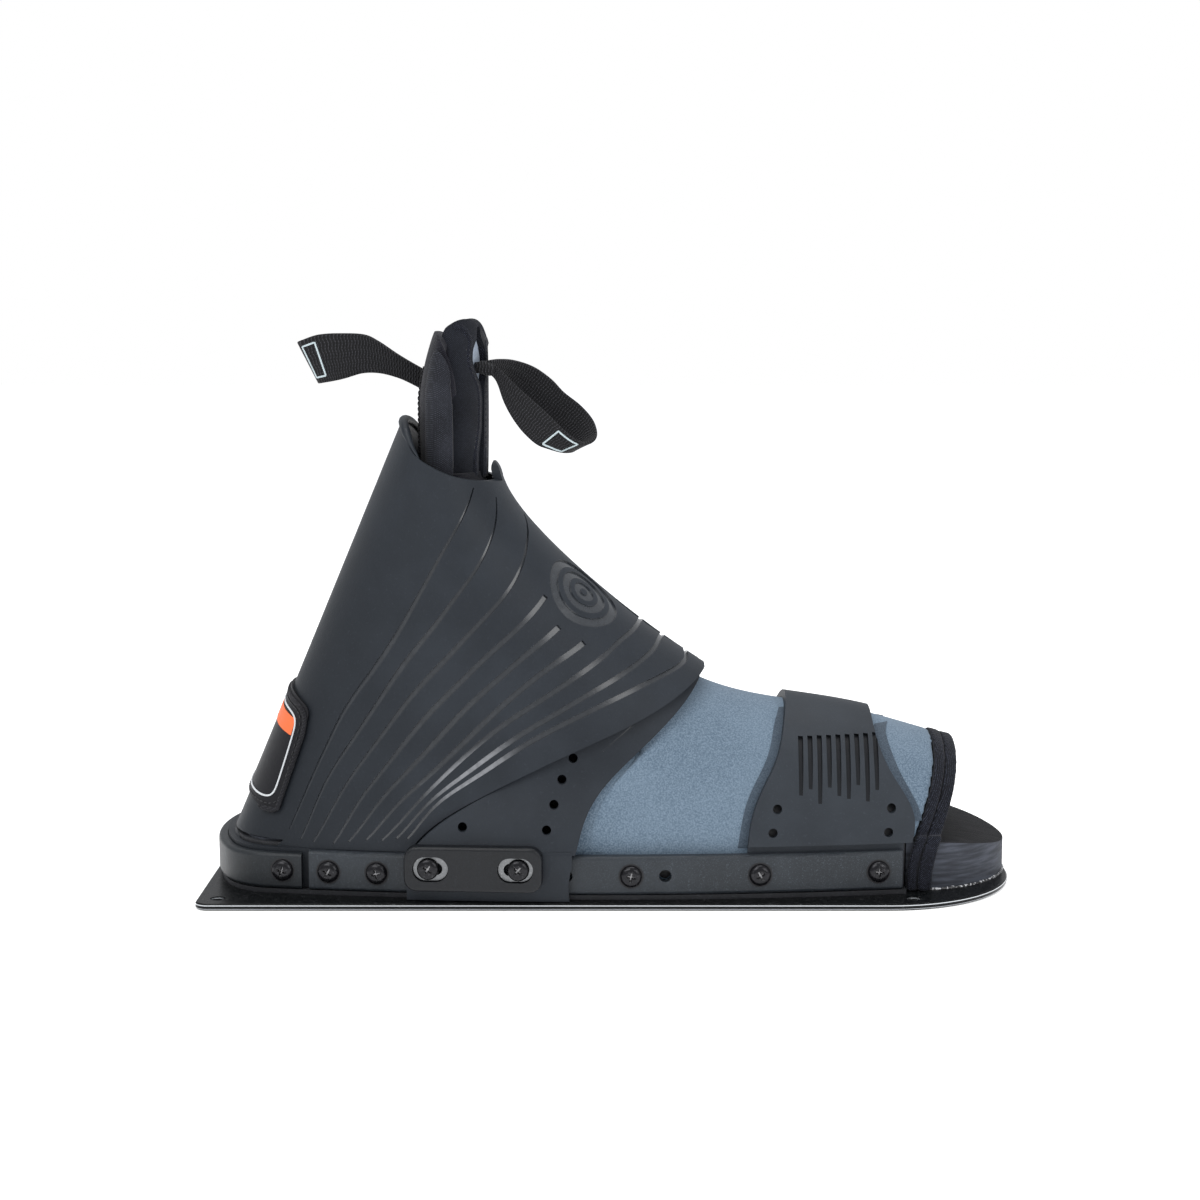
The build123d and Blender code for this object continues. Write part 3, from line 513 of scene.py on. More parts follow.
@dataclass(frozen=True)
class FootbedFoam(Finish):
    """Dense foam: dark brushed top and a paler sawn side."""

    def build(self, shader: Shader) -> None:
        """Adds the nodes."""
        _, _, nz = shader.axes(shader.node("ShaderNodeNewGeometry", output="Normal"))
        top = nz.step(0.45, 0.85)
        saw = shader.noise(70.0, 5.0, (1.0, 1.0, 9.0))
        nap = shader.noise(210.0, 5.0, (0.35, 2.4, 1.0))
        pore = shader.noise(3800.0, 1.0)
        side = shader.mix(saw.step(0.32, 0.70), (0.034, 0.037, 0.045), (0.070, 0.077, 0.096))
        cover = shader.mix(nap.step(0.30, 0.72), (0.002, 0.002, 0.0025), (0.012, 0.012, 0.014))
        shader.set(
            Base_Color=shader.mix(top, side, cover),
            Roughness=0.62 + 0.22 * pore,
            Normal=shader.bump(pore, 0.07, shader.bump(nap, 0.12)),
            Specular_IOR_Level=0.18,
        )


@dataclass(frozen=True)
class PlainInk(Finish):
    """Flat printed or bonded colour with a slight mottle."""

    colour: Colour = (0.6, 0.6, 0.6)
    roughness: float = 0.5

    def build(self, shader: Shader) -> None:
        """Adds the nodes."""
        mottle = shader.noise(700.0, 3.0)
        shader.set(
            Base_Color=shader.mix(mottle, tint(self.colour, 0.86), self.colour),
            Roughness=self.roughness - 0.05 + 0.1 * mottle,
            Normal=shader.bump(mottle, 0.03),
        )


@dataclass(frozen=True)
class GlueLine(Finish):
    """Dried glue with pale specks along a bonded edge."""

    def build(self, shader: Shader) -> None:
        """Adds the nodes."""
        speck = shader.noise(900.0, 3.0)
        white = speck.step(0.52, 0.60)
        shader.set(
            Base_Color=shader.mix(white, (0.018, 0.018, 0.020), (0.62, 0.63, 0.65)),
            Roughness=0.35 + 0.4 * white,
            Normal=shader.bump(speck, 0.2),
        )


WRAP_RUBBER = MouldedRubber("wrap_rubber", heel_shade=-0.070)
FLAP_RUBBER = MouldedRubber("strap_rubber", (0.026, 0.031, 0.038), 0.50)
# Painted shade: a near-black copy of the strap rubber for the floors between the toe strap's ribs.
SHADED_RIB_FLOOR = MouldedRubber("shaded_rib_floor", (0.006, 0.007, 0.009), 0.45)
GROOVE = GrooveFloor("groove_floor")
RAIL_NYLON = GrainedNylon("rail_nylon")
LOCK_NYLON = GrainedNylon("lock_nylon", (0.005, 0.006, 0.008), 0.20)
CLAMP_NYLON = GrainedNylon("clamp_nylon", (0.013, 0.016, 0.019))
JERSEY = MelangeJersey("blue_jersey")
# Painted shade: a darker copy of the blue jersey for the sleeve beside the strap's edges.
SHADE_JERSEY = MelangeJersey("shade_jersey", (0.066, 0.088, 0.114), (0.034, 0.047, 0.064))
LINER = BlackJersey("liner_jersey")
KNIT_TAPE = BlackJersey("binding_knit", (0.004, 0.0045, 0.007), (0.085, 0.095, 0.135))
PALE_LINING = MelangeJersey("pale_lining", (0.33, 0.38, 0.45), (0.20, 0.24, 0.30))
TONGUE_KNIT = BlackJersey("tongue_knit", (0.008, 0.009, 0.012), (0.040, 0.045, 0.062))
WEBBING = RibbedWebbing("webbing")
BLACK_OXIDE = TurnedMetal("black_oxide", (0.010, 0.010, 0.012), 0.6, 0.20, (0.16, 0.16, 0.17), 0.30)
BARE_RECESS = TurnedMetal("bare_recess", (0.22, 0.22, 0.225), 1.0, 0.30, (0.70, 0.69, 0.67), 0.55)
STAINLESS = TurnedMetal("stainless", (0.17, 0.175, 0.18), 1.0, 0.34, (0.45, 0.46, 0.47), 0.5)
BRASS = TurnedMetal("turned_brass", (0.66, 0.49, 0.22), 1.0, 0.3, (0.8, 0.65, 0.35), 0.3)
PLATE = AnodisedPlate("anodised_plate")
FOAM = FootbedFoam("footbed_foam")
PALE_LINE = PlainInk("pale_line", (0.46, 0.54, 0.56), 0.55)
ACCENT = PlainInk("orange_accent", (0.86, 0.155, 0.035), 0.5)
WHITE_LINE = PlainInk("white_line", (0.62, 0.64, 0.66), 0.5)
GLUE = GlueLine("glue_line")
TRAY_NYLON = GrainedNylon("tray_nylon", (0.022, 0.023, 0.026))
PATCH_CLOTH = MouldedRubber("patch_cloth", (0.010, 0.010, 0.012), 0.45)
PATCH_BIND = BlackJersey("patch_binding", (0.010, 0.010, 0.012), (0.060, 0.060, 0.068))
FLAP_KNIT = BlackJersey("flap_knit", (0.014, 0.015, 0.019), (0.075, 0.082, 0.105))
# Painted shade: near-black for holes and recesses that fall into shade.
PAINTED_HOLE_SHADE = PlainInk("painted_hole_shade", (0.006, 0.006, 0.008), 0.6)
BLACK_THREAD = PlainInk("black_thread", (0.016, 0.016, 0.019), 0.5)


# ---------------------------------------------------------------- bench tools


def pick_only(obj: Obj) -> None:
    """Makes one object the only selected and active one."""
    bpy.ops.object.select_all(action="DESELECT")
    obj.select_set(True)
    bpy.context.view_layer.objects.active = obj


def apply(obj: Obj, kind: str, **settings: object) -> Obj:
    """Adds a modifier and applies it.

    Args:
        obj: the piece.
        kind: the modifier's type.
        settings: its attributes.

    Returns:
        The piece.
    """
    pick_only(obj)
    modifier = obj.modifiers.new(kind.lower(), kind)
    for key, value in settings.items():
        setattr(modifier, key, value)
    bpy.ops.object.modifier_apply(modifier=modifier.name)
    return obj


def edit(obj: Obj, *steps: Callable[[], object]) -> Obj:
    """Runs edit-mode steps with the whole mesh selected.

    Args:
        obj: the piece.
        steps: calls of edit operators.

    Returns:
        The piece.
    """
    pick_only(obj)
    bpy.ops.object.mode_set(mode="EDIT")
    bpy.ops.mesh.select_all(action="SELECT")
    for step in steps:
        step()
    bpy.ops.object.mode_set(mode="OBJECT")
    return obj


def weld(distance_mm: float = 0.002) -> Callable[[], object]:
    """Edit step that merges doubles."""
    return lambda: bpy.ops.mesh.remove_doubles(threshold=distance_mm * MM)


def face_out() -> object:
    """Edit step that points the faces outwards."""
    return bpy.ops.mesh.normals_make_consistent(inside=False)


def thicken(obj: Obj, thickness_mm: float, **settings: object) -> Obj:
    """Gives an open sheet its thickness, half of it on each side.

    Args:
        obj: the sheet.
        thickness_mm: its thickness.
        settings: more attributes of the modifier.

    Returns:
        The closed piece, faces outwards.
    """
    return edit(apply(obj, "SOLIDIFY", thickness=thickness_mm * MM, offset=0.0, **settings), face_out)


def bevel(obj: Obj, width_mm: float, segments: int = 3, angle: float = 50.0) -> Obj:
    """Rounds the edges sharper than an angle.

    Args:
        obj: the piece.
        width_mm: width of the rounding.
        segments: faces across it.
        angle: the angle, in degrees.

    Returns:
        The piece.
    """
    return apply(obj, "BEVEL", width=width_mm * MM, segments=segments, limit_method="ANGLE",
                 angle_limit=math.radians(angle))


def smooth(obj: Obj, angle: float = 35.0) -> Obj:
    """Shades a piece smooth up to an angle in degrees."""
    pick_only(obj)
    bpy.ops.object.shade_smooth_by_angle(angle=math.radians(angle))
    return obj


def paint(obj: Obj, *finishes: Finish) -> Obj:
    """Gives a piece its finishes, one slot each."""
    obj.data.materials.clear()
    for finish in finishes:
        obj.data.materials.append(finish.material())
    return obj


def seat(obj: Obj, body: str, slot: str, *nodes: str) -> Obj:
    """Settles a finished piece: its body and what it stands for.

    Args:
        obj: the piece.
        body: the CAD body that it rides on.
        slot: not used.
        nodes: CAD nodes that it replaces.

    Returns:
        The piece.
    """
    pick_only(obj)
    bpy.ops.object.transform_apply(location=True, rotation=True, scale=True)
    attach(obj, body)
    if nodes:
        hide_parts(*nodes)
    log.info("%-24s %6d faces, on %s", obj.name, len(obj.data.polygons), body)
    return obj


def lattice(name: str, rows: Sequence[Sequence[Vector]]) -> Obj:
    """A grid primitive whose vertices are set to the given rows, with a UV map in millimetres.

    Args:
        name: the object's name.
        rows: points, row by row, as many in each.

    Returns:
        The new object.
    """
    count, width = len(rows), len(rows[0])
    bpy.ops.object.select_all(action="DESELECT")
    bpy.ops.mesh.primitive_grid_add(x_subdivisions=width - 1, y_subdivisions=count - 1, size=MM)
    obj = bpy.context.object
    obj.name = name
    flat = np.array([p for row in rows for p in row], float)
    obj.location = (0, 0, 0)
    obj.data.vertices.foreach_set("co", flat.ravel())
    grid = flat.reshape(count, width, 3)
    along = np.r_[0, np.cumsum(np.linalg.norm(np.diff(grid.mean(1), axis=0), axis=1))]
    across = np.r_[0, np.cumsum(np.linalg.norm(np.diff(grid, axis=1), axis=2).mean(0))]
    layer = obj.data.uv_layers.active or obj.data.uv_layers.new()
    for loop in obj.data.loops:
        row, column = divmod(loop.vertex_index, width)
        layer.data[loop.index].uv = (across[column] / MM, along[row] / MM)
    obj.data.update()
    return obj


def tube(name: str, rings: Sequence[Sequence[Vector]], capped: bool = True) -> Obj:
    """A closed sweep through rings of points.

    Args:
        name: the object's name.
        rings: sections, each a ring of points.
        capped: whether the ends are filled.

    Returns:
        The new object, faces outwards.
    """
    obj = lattice(name, [list(ring) + [ring[0]] for ring in rings])
    steps = [weld(0.001)]
    if capped:
        steps += [
            lambda: bpy.ops.mesh.select_all(action="DESELECT"),
            lambda: bpy.ops.mesh.select_non_manifold(extend=False, use_boundary=True, use_wire=False,
                                                     use_multi_face=False, use_non_contiguous=False,
                                                     use_verts=False),
            lambda: bpy.ops.mesh.fill_holes(sides=0),
            lambda: bpy.ops.mesh.select_all(action="SELECT"),
        ]
    return edit(obj, *steps, face_out)


def spline(points: Sequence[Sequence[float]], count: int) -> np.ndarray:
    """Centripetal curve through points.

    Args:
        points: what it passes through, of any dimension.
        count: how many samples to give.

    Returns:
        The samples, evenly spaced along the curve.
    """
    p = np.array(points, float)
    p = np.vstack([2 * p[0] - p[1], p, 2 * p[-1] - p[-2]])
    fine = []
    for i in range(1, len(p) - 2):
        a, b, c, d = p[i - 1 : i + 3]
        for t in np.linspace(0, 1, 24, endpoint=False):
            fine.append(0.5 * (2 * b + (c - a) * t + (2 * a - 5 * b + 4 * c - d) * t * t
                               + (3 * b - a - 3 * c + d) * t**3))
    fine.append(p[-2])
    fine = np.array(fine)
    run = np.r_[0, np.cumsum(np.linalg.norm(np.diff(fine, axis=0), axis=1))]
    even = np.linspace(0, run[-1], count)
    return np.stack([np.interp(even, run, fine[:, k]) for k in range(p.shape[1])], 1)


def node_copy(node: str, name: str) -> Obj:
    """A merged copy of a CAD node's mesh, as a new object.

    Args:
        node: the CAD node.
        name: the copy's name.

    Returns:
        The copy.
    """
    obj = bpy.data.objects.new(name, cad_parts[node].data.copy())
    bpy.context.scene.collection.objects.link(obj)
    pick_only(obj)
    bpy.ops.mesh.customdata_custom_splitnormals_clear()
    return edit(obj, weld(0.004))


def copy_to(model: Obj, matrix: Matrix) -> Obj:
    """A copy of a model with its own mesh, moved by a matrix."""
    copy = bpy.data.objects.new(model.name, model.data.copy())
    bpy.context.scene.collection.objects.link(copy)
    copy.data.transform(matrix)
    return copy


def softened(node: str, name: str, voxel_mm: float, rounds: int = 4) -> Obj:
    """A CAD node's form with evenly sized faces and rounded edges.

    Args:
        node: the CAD node.
        name: the new piece's name.
        voxel_mm: size of its faces.
        rounds: how often it is smoothed.

    Returns:
        The new piece.
    """
    obj = node_copy(node, name)
    apply(obj, "REMESH", mode="VOXEL", voxel_size=voxel_mm * MM, adaptivity=0.0)
    apply(obj, "SMOOTH", factor=0.5, iterations=rounds)
    return smooth(obj, 60)


class Skin:
    """Surface of some CAD nodes, to lay pieces on."""

    def __init__(self, *nodes: str) -> None:
        """Gathers the nodes' triangles.

        Args:
            nodes: names of CAD nodes.
        """
        points: list[Vector] = []
        faces: list[list[int]] = []
        for node in nodes:
            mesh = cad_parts[node].data
            start = len(points)
            points += [v.co.copy() for v in mesh.vertices]
            faces += [[start + i for i in p.vertices] for p in mesh.polygons]
        self.tree = BVHTree.FromPolygons(points, faces)

    def cast(self, origin: Sequence[float], direction: Sequence[float]) -> Optional[Hit]:
        """First hit of a ray.

        Args:
            origin: where it starts.
            direction: where it goes.

        Returns:
            Place and outward normal, or None.
        """
        place, normal, _, _ = self.tree.ray_cast(Vector(origin), Vector(direction).normalized())
        if place is None:
            return None
        if normal.dot(Vector(direction)) > 0:
            normal = -normal
        return place, normal

    def side(self, x: float, z: float, right: bool = True) -> Optional[Hit]:
        """Hit of a level ray across the boot, from its right or left side."""
        y = -1.0 if right else 1.0
        return self.cast((x, 0.3 * y, z), (0, -y, 0))

    def round(self, angle: float, z: float) -> Optional[Hit]:
        """Hit of a level ray towards the boot's spine.

        Args:
            angle: degrees from the toes, positive on the right.
            z: height.

        Returns:
            Place and outward normal, or None.
        """
        spine = Vector((SPINE_X - SPINE_LEAN * (z - SPINE_Z), 0, z))
        out = Vector((math.cos(math.radians(angle)), -math.sin(math.radians(angle)), 0))
        return self.cast(spine + out * 0.25, -out)


def circle(count: int) -> list[tuple[float, float]]:
    """Cosine and sine of evenly spaced turns, once round."""
    return [(math.cos(2 * math.pi * k / count), math.sin(2 * math.pi * k / count)) for k in range(count)]


def ribbon_frames(path: Path) -> list[tuple[Vector, Vector, Vector]]:
    """Frames along a path on a surface.

    Args:
        path: places with their outward normals.

    Returns:
        Place, normal and sideways direction at each place.
    """
    frames = []
    for i, (place, normal) in enumerate(path):
        ahead = path[min(i + 1, len(path) - 1)][0] - path[max(i - 1, 0)][0]
        sideways = ahead.normalized().cross(normal).normalized()
        frames.append((place, normal, sideways))
    return frames


def groove_cutter(path: Path, widths: Sequence[float], depths: Sequence[float],
                  finish: "Finish" = GROOVE) -> Obj:
    """A tapered bar sunk along a path, to cut one groove.

    Args:
        path: places with outward normals.
        widths: width at each place, in millimetres.
        depths: depth at each place, in millimetres.
        finish: finish of the cut faces.

    Returns:
        The closed cutter.
    """
    floor_share, stand_mm = 0.8, 1.6
    rings = []
    for (place, normal, sideways), width, depth in zip(ribbon_frames(path), widths, depths):
        half, high, low = sideways * (width * MM / 2), normal * (stand_mm * MM), -normal * (depth * MM)
        rings.append([place + half + high, place - half + high, place - half * floor_share + low,
                      place + half * floor_share + low])
    return paint(tube("groove", rings), finish)


def join(parts: Iterable[Obj], name: str) -> Obj:
    """Joins objects into one."""
    parts = list(parts)
    bpy.ops.object.select_all(action="DESELECT")
    for part in parts:
        part.select_set(True)
    bpy.context.view_layer.objects.active = parts[0]
    bpy.ops.object.join()
    parts[0].name = name
    return parts[0]


def carve(obj: Obj, cutters: Sequence[Obj]) -> Obj:
    """Cuts a piece with each cutter in turn, then removes them.

    Args:
        obj: the piece.
        cutters: closed meshes; their finish stays on the cut faces.

    Returns:
        The piece.
    """
    for cutter in cutters:
        apply(obj, "BOOLEAN", object=cutter, operation="DIFFERENCE", solver="EXACT",
              material_mode="TRANSFER")
        bpy.data.objects.remove(cutter)
    return obj


def taper(count: int, start: float, middle: float, end: float, at: float = 0.6) -> list[float]:
    """Values that rise from start to middle and fall to end.

    Args:
        count: how many.
        start: first value.
        middle: value at the share "at" of the way.
        end: last value.
        at: where the middle lies, 0 to 1.

    Returns:
        The values.
    """
    return list(np.interp(np.linspace(0, 1, count), [0, at, 1], [start, middle, end]))


def surface_path(skin: Skin, line: Sequence[Sequence[float]], count: int, right: bool = True,
                 lift_mm: float = 0.0) -> list[Hit]:
    """Places on a surface along a side view line.

    Args:
        skin: the surface.
        line: points as x, z in millimetres.
        count: how many places.
        right: whether the right side is meant.
        lift_mm: how far the places stand off the surface.

    Returns:
        Places with outward normals.
    """
    found = []
    for x, z in spline(line, count):
        hit = skin.side(x * MM, z * MM, right)
        if hit:
            found.append((hit[0] + hit[1] * (lift_mm * MM), hit[1]))
    return found


def tape(name: str, path: Path, width_mm: float, thickness_mm: float,
         sides: int = 12) -> Obj:
    """A flat, round-edged strip along a path of places and normals.

    Args:
        name: the object's name.
        path: places and normals.
        width_mm: its width.
        thickness_mm: its thickness.
        sides: points round its section.

    Returns:
        The closed strip.
    """
    rings = []
    for place, normal, sideways in ribbon_frames(path):
        ring = []
        for cos, sin in circle(sides):
            across = math.copysign(abs(cos) ** 0.6, cos) * width_mm / 2
            up = math.copysign(abs(sin) ** 0.8, sin) * thickness_mm / 2
            ring.append(place + sideways * (across * MM) + normal * (up * MM))
        rings.append(ring)
    return smooth(tube(name, rings), 50)


def stitches(name: str, path: Path, finish: "Finish", length_mm: float = 2.0,
             thread_mm: float = 0.45) -> Obj:
    """A row of thread stitches, one modelled and copied to each place of a path.

    Args:
        name: the object's name.
        path: places and normals, one for each stitch.
        finish: the thread's finish.
        length_mm: length of a stitch.
        thread_mm: thickness of the thread.

    Returns:
        The row, as one object.
    """
    rings = []
    for share in np.linspace(-1, 1, 7):
        radius = thread_mm * MM / 2 * math.sqrt(max(1.0 - share**4, 0.02))
        place = Vector((share * length_mm * MM / 2, 0, -0.25 * thread_mm * MM * share * share))
        rings.append([place + Vector((0, cos, sin)) * radius for cos, sin in circle(6)])
    model = paint(smooth(tube("stitch", rings), 60), finish)
    copies = []
    for i, (place, normal) in enumerate(path):
        ahead = (path[min(i + 1, len(path) - 1)][0] - path[max(i - 1, 0)][0]).normalized()
        side = normal.cross(ahead).normalized()
        matrix = Matrix((ahead, side, ahead.cross(side))).transposed().to_4x4()
        matrix.translation = place
        copies.append(copy_to(model, matrix))
    bpy.data.objects.remove(model)
    return join(copies, name)


# ---------------------------------------------------------------- sub-assemblies


class Hand(Enum):
    """Side of the boot."""

    RIGHT = "right"
    LEFT = "left"


@dataclass
class Base:
    """Base plate, hidden tray with its inserts and screws, and the footbed."""

    glue_height_mm: float = 1.0
    toe_radius_mm: float = 47.0
    toe_centre_mm: float = 131.5

    def build(self) -> None:
        """Dresses the CAD nodes and adds the glue line."""
        for node, finish in (
            ("base_plate", PLATE), ("footbed", FOAM), ("chassis", TRAY_NYLON),
            ("threaded_inserts", BRASS), ("chassis_screws", STAINLESS),
        ):
            paint(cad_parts[node], finish)
        self.glue_line()

    def glue_line(self) -> None:
        """Squeezed-out glue round the footbed's toe."""
        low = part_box("base_plate")[1].z
        rings = []
        for angle in np.linspace(-92, 92, 75):
            turn = math.radians(angle)
            out = Vector((math.cos(turn), math.sin(turn), 0))
            foot = Vector((self.toe_centre_mm * MM, 0, low)) + out * (self.toe_radius_mm * MM)
            bead = self.glue_height_mm * MM * (0.75 + 0.35 * math.sin(angle * 0.9) * math.cos(angle * 0.37))
            section = ((-0.0003, 0.0), (bead * 0.9, 0.0), (bead * 0.5, bead * 0.7), (-0.0003, bead))
            rings.append([foot + out * reach + Vector((0, 0, rise)) for reach, rise in section])
        seat(smooth(paint(tube("glue_line", rings), GLUE)), "boot", "footbed")


@dataclass
class Rails:
    """Heel clamp, side rails, lock plates and their washers."""

    def build(self) -> None:
        """Dresses the CAD nodes."""
        paint(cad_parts["heel_clamp"], CLAMP_NYLON)
        for hand in Hand:
            paint(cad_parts[f"side_rail_{hand.value}"], RAIL_NYLON)
            paint(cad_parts[f"lock_plate_{hand.value}"], LOCK_NYLON)
            paint(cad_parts[f"slot_washers_{hand.value}"], STAINLESS)


@dataclass
class Screws:
    """Pan head screws with a cross recess, one model copied to every CAD screw."""

    head_radius_mm: float = 4.75
    head_height_mm: float = 2.7
    wing_mm: float = 5.4
    wing_width_mm: float = 1.15
    recess_mm: float = 1.9

    def model(self, shade_ringed: bool) -> Obj:
        """One screw, head resting on the origin, axis +Z.

        Args:
            shade_ringed: whether a dark ring of painted shade lies round the head.

        Returns:
            The finished screw.
        """
        radius, height = self.head_radius_mm * MM, self.head_height_mm * MM
        profile = [(0.0, 1.0), (0.45, 0.985), (0.72, 0.90), (0.90, 0.66), (0.985, 0.34), (1.0, 0.08),
                   (0.97, 0.0)]
        sections = [(max(share, 0.02) * radius, level * height) for share, level in profile]
        sections += [(0.0023, 0.0), (0.0023, -0.006)]
        round_points = circle(40)
        rings = [[Vector((r * cos, r * sin, z)) for cos, sin in round_points] for r, z in sections]
        head = paint(tube("screw", rings), BLACK_OXIDE)
        cutters = []
        for turn in (0, 90):
            bpy.ops.object.select_all(action="DESELECT")
            bpy.ops.mesh.primitive_cube_add(size=1)
            wing = bpy.context.object
            wing.scale = (self.wing_mm * MM, self.wing_width_mm * MM, 2 * self.recess_mm * MM)
            wing.location = (0, 0, height)
            wing.rotation_euler = (0, 0, math.radians(turn))
            pick_only(wing)
            bpy.ops.object.transform_apply(location=True, rotation=True, scale=True)
            for vertex in wing.data.vertices:
                if vertex.co.z < height:
                    vertex.co.x *= 0.55
                    vertex.co.y *= 0.55
            cutters.append(paint(wing, BARE_RECESS))
        carve(head, cutters)
        # Painted shade: a dark flat ring round the head, for the shade of the recess it sits in.
        if shade_ringed:
            outline = ((4.6, -0.2), (5.5, -0.2), (5.4, 0.05), (4.6, 0.10), (4.6, -0.2))
            shade = [[Vector((r * cos, r * sin, z)) * MM for cos, sin in round_points] for r, z in outline]
            head = join([head, paint(tube("ring", shade, capped=False), PAINTED_HOLE_SHADE)], "screw")
        return smooth(bevel(head, 0.12, 2, 40.0), 32)

    def frames(self, node: str) -> list[Matrix]:
        """Place and direction of each screw of a CAD node."""
        obj = node_copy(node, "loose")
        pick_only(obj)
        bpy.ops.object.mode_set(mode="EDIT")
        bpy.ops.mesh.select_all(action="SELECT")
        bpy.ops.mesh.separate(type="LOOSE")
        bpy.ops.object.mode_set(mode="OBJECT")
        found = []
        for part in list(bpy.context.selected_objects):
            co = np.array([v.co for v in part.data.vertices], float)
            centre = co.mean(0)
            spread = np.linalg.svd(co - centre, full_matrices=False)[2]
            axis = Vector(spread[0])
            if axis.y * centre[1] < 0:
                axis = -axis
            along = (co - centre) @ np.array(axis)
            ring = co[along > along.max() - 0.0032]
            middle = Vector((ring.min(0) + ring.max(0)) / 2)
            top = middle + axis * (float(along.max()) - (middle - Vector(centre)).dot(axis))
            side = axis.cross(Vector((0, 0, 1))).normalized()
            up = side.cross(axis)
            matrix = Matrix((side, up, axis)).transposed().to_4x4()
            matrix.translation = top - axis * (self.head_height_mm * MM)
            found.append(matrix)
            bpy.data.objects.remove(part)
        return sorted(found, key=lambda m: (round(m.translation.y, 3), m.translation.x))

    def build(self) -> None:
        """Copies the screw to every place."""
        models = {shade_ringed: self.model(shade_ringed) for shade_ringed in (True, False)}
        turn = 17.0
        for node in ("heel_clamp_screws", "rail_screws_right", "rail_screws_left",
                     "lock_screws_right", "lock_screws_left"):
            copies = []
            model = models["lock" not in node]
            for matrix in self.frames(node):
                copies.append(copy_to(model, matrix @ Matrix.Rotation(math.radians(turn), 4, "Z")))
                turn = (turn * 2.3 + 31.0) % 90.0
            seat(join(copies, f"{node}_dressed"), "boot", "side_screw", node)
        for model in models.values():
            bpy.data.objects.remove(model)


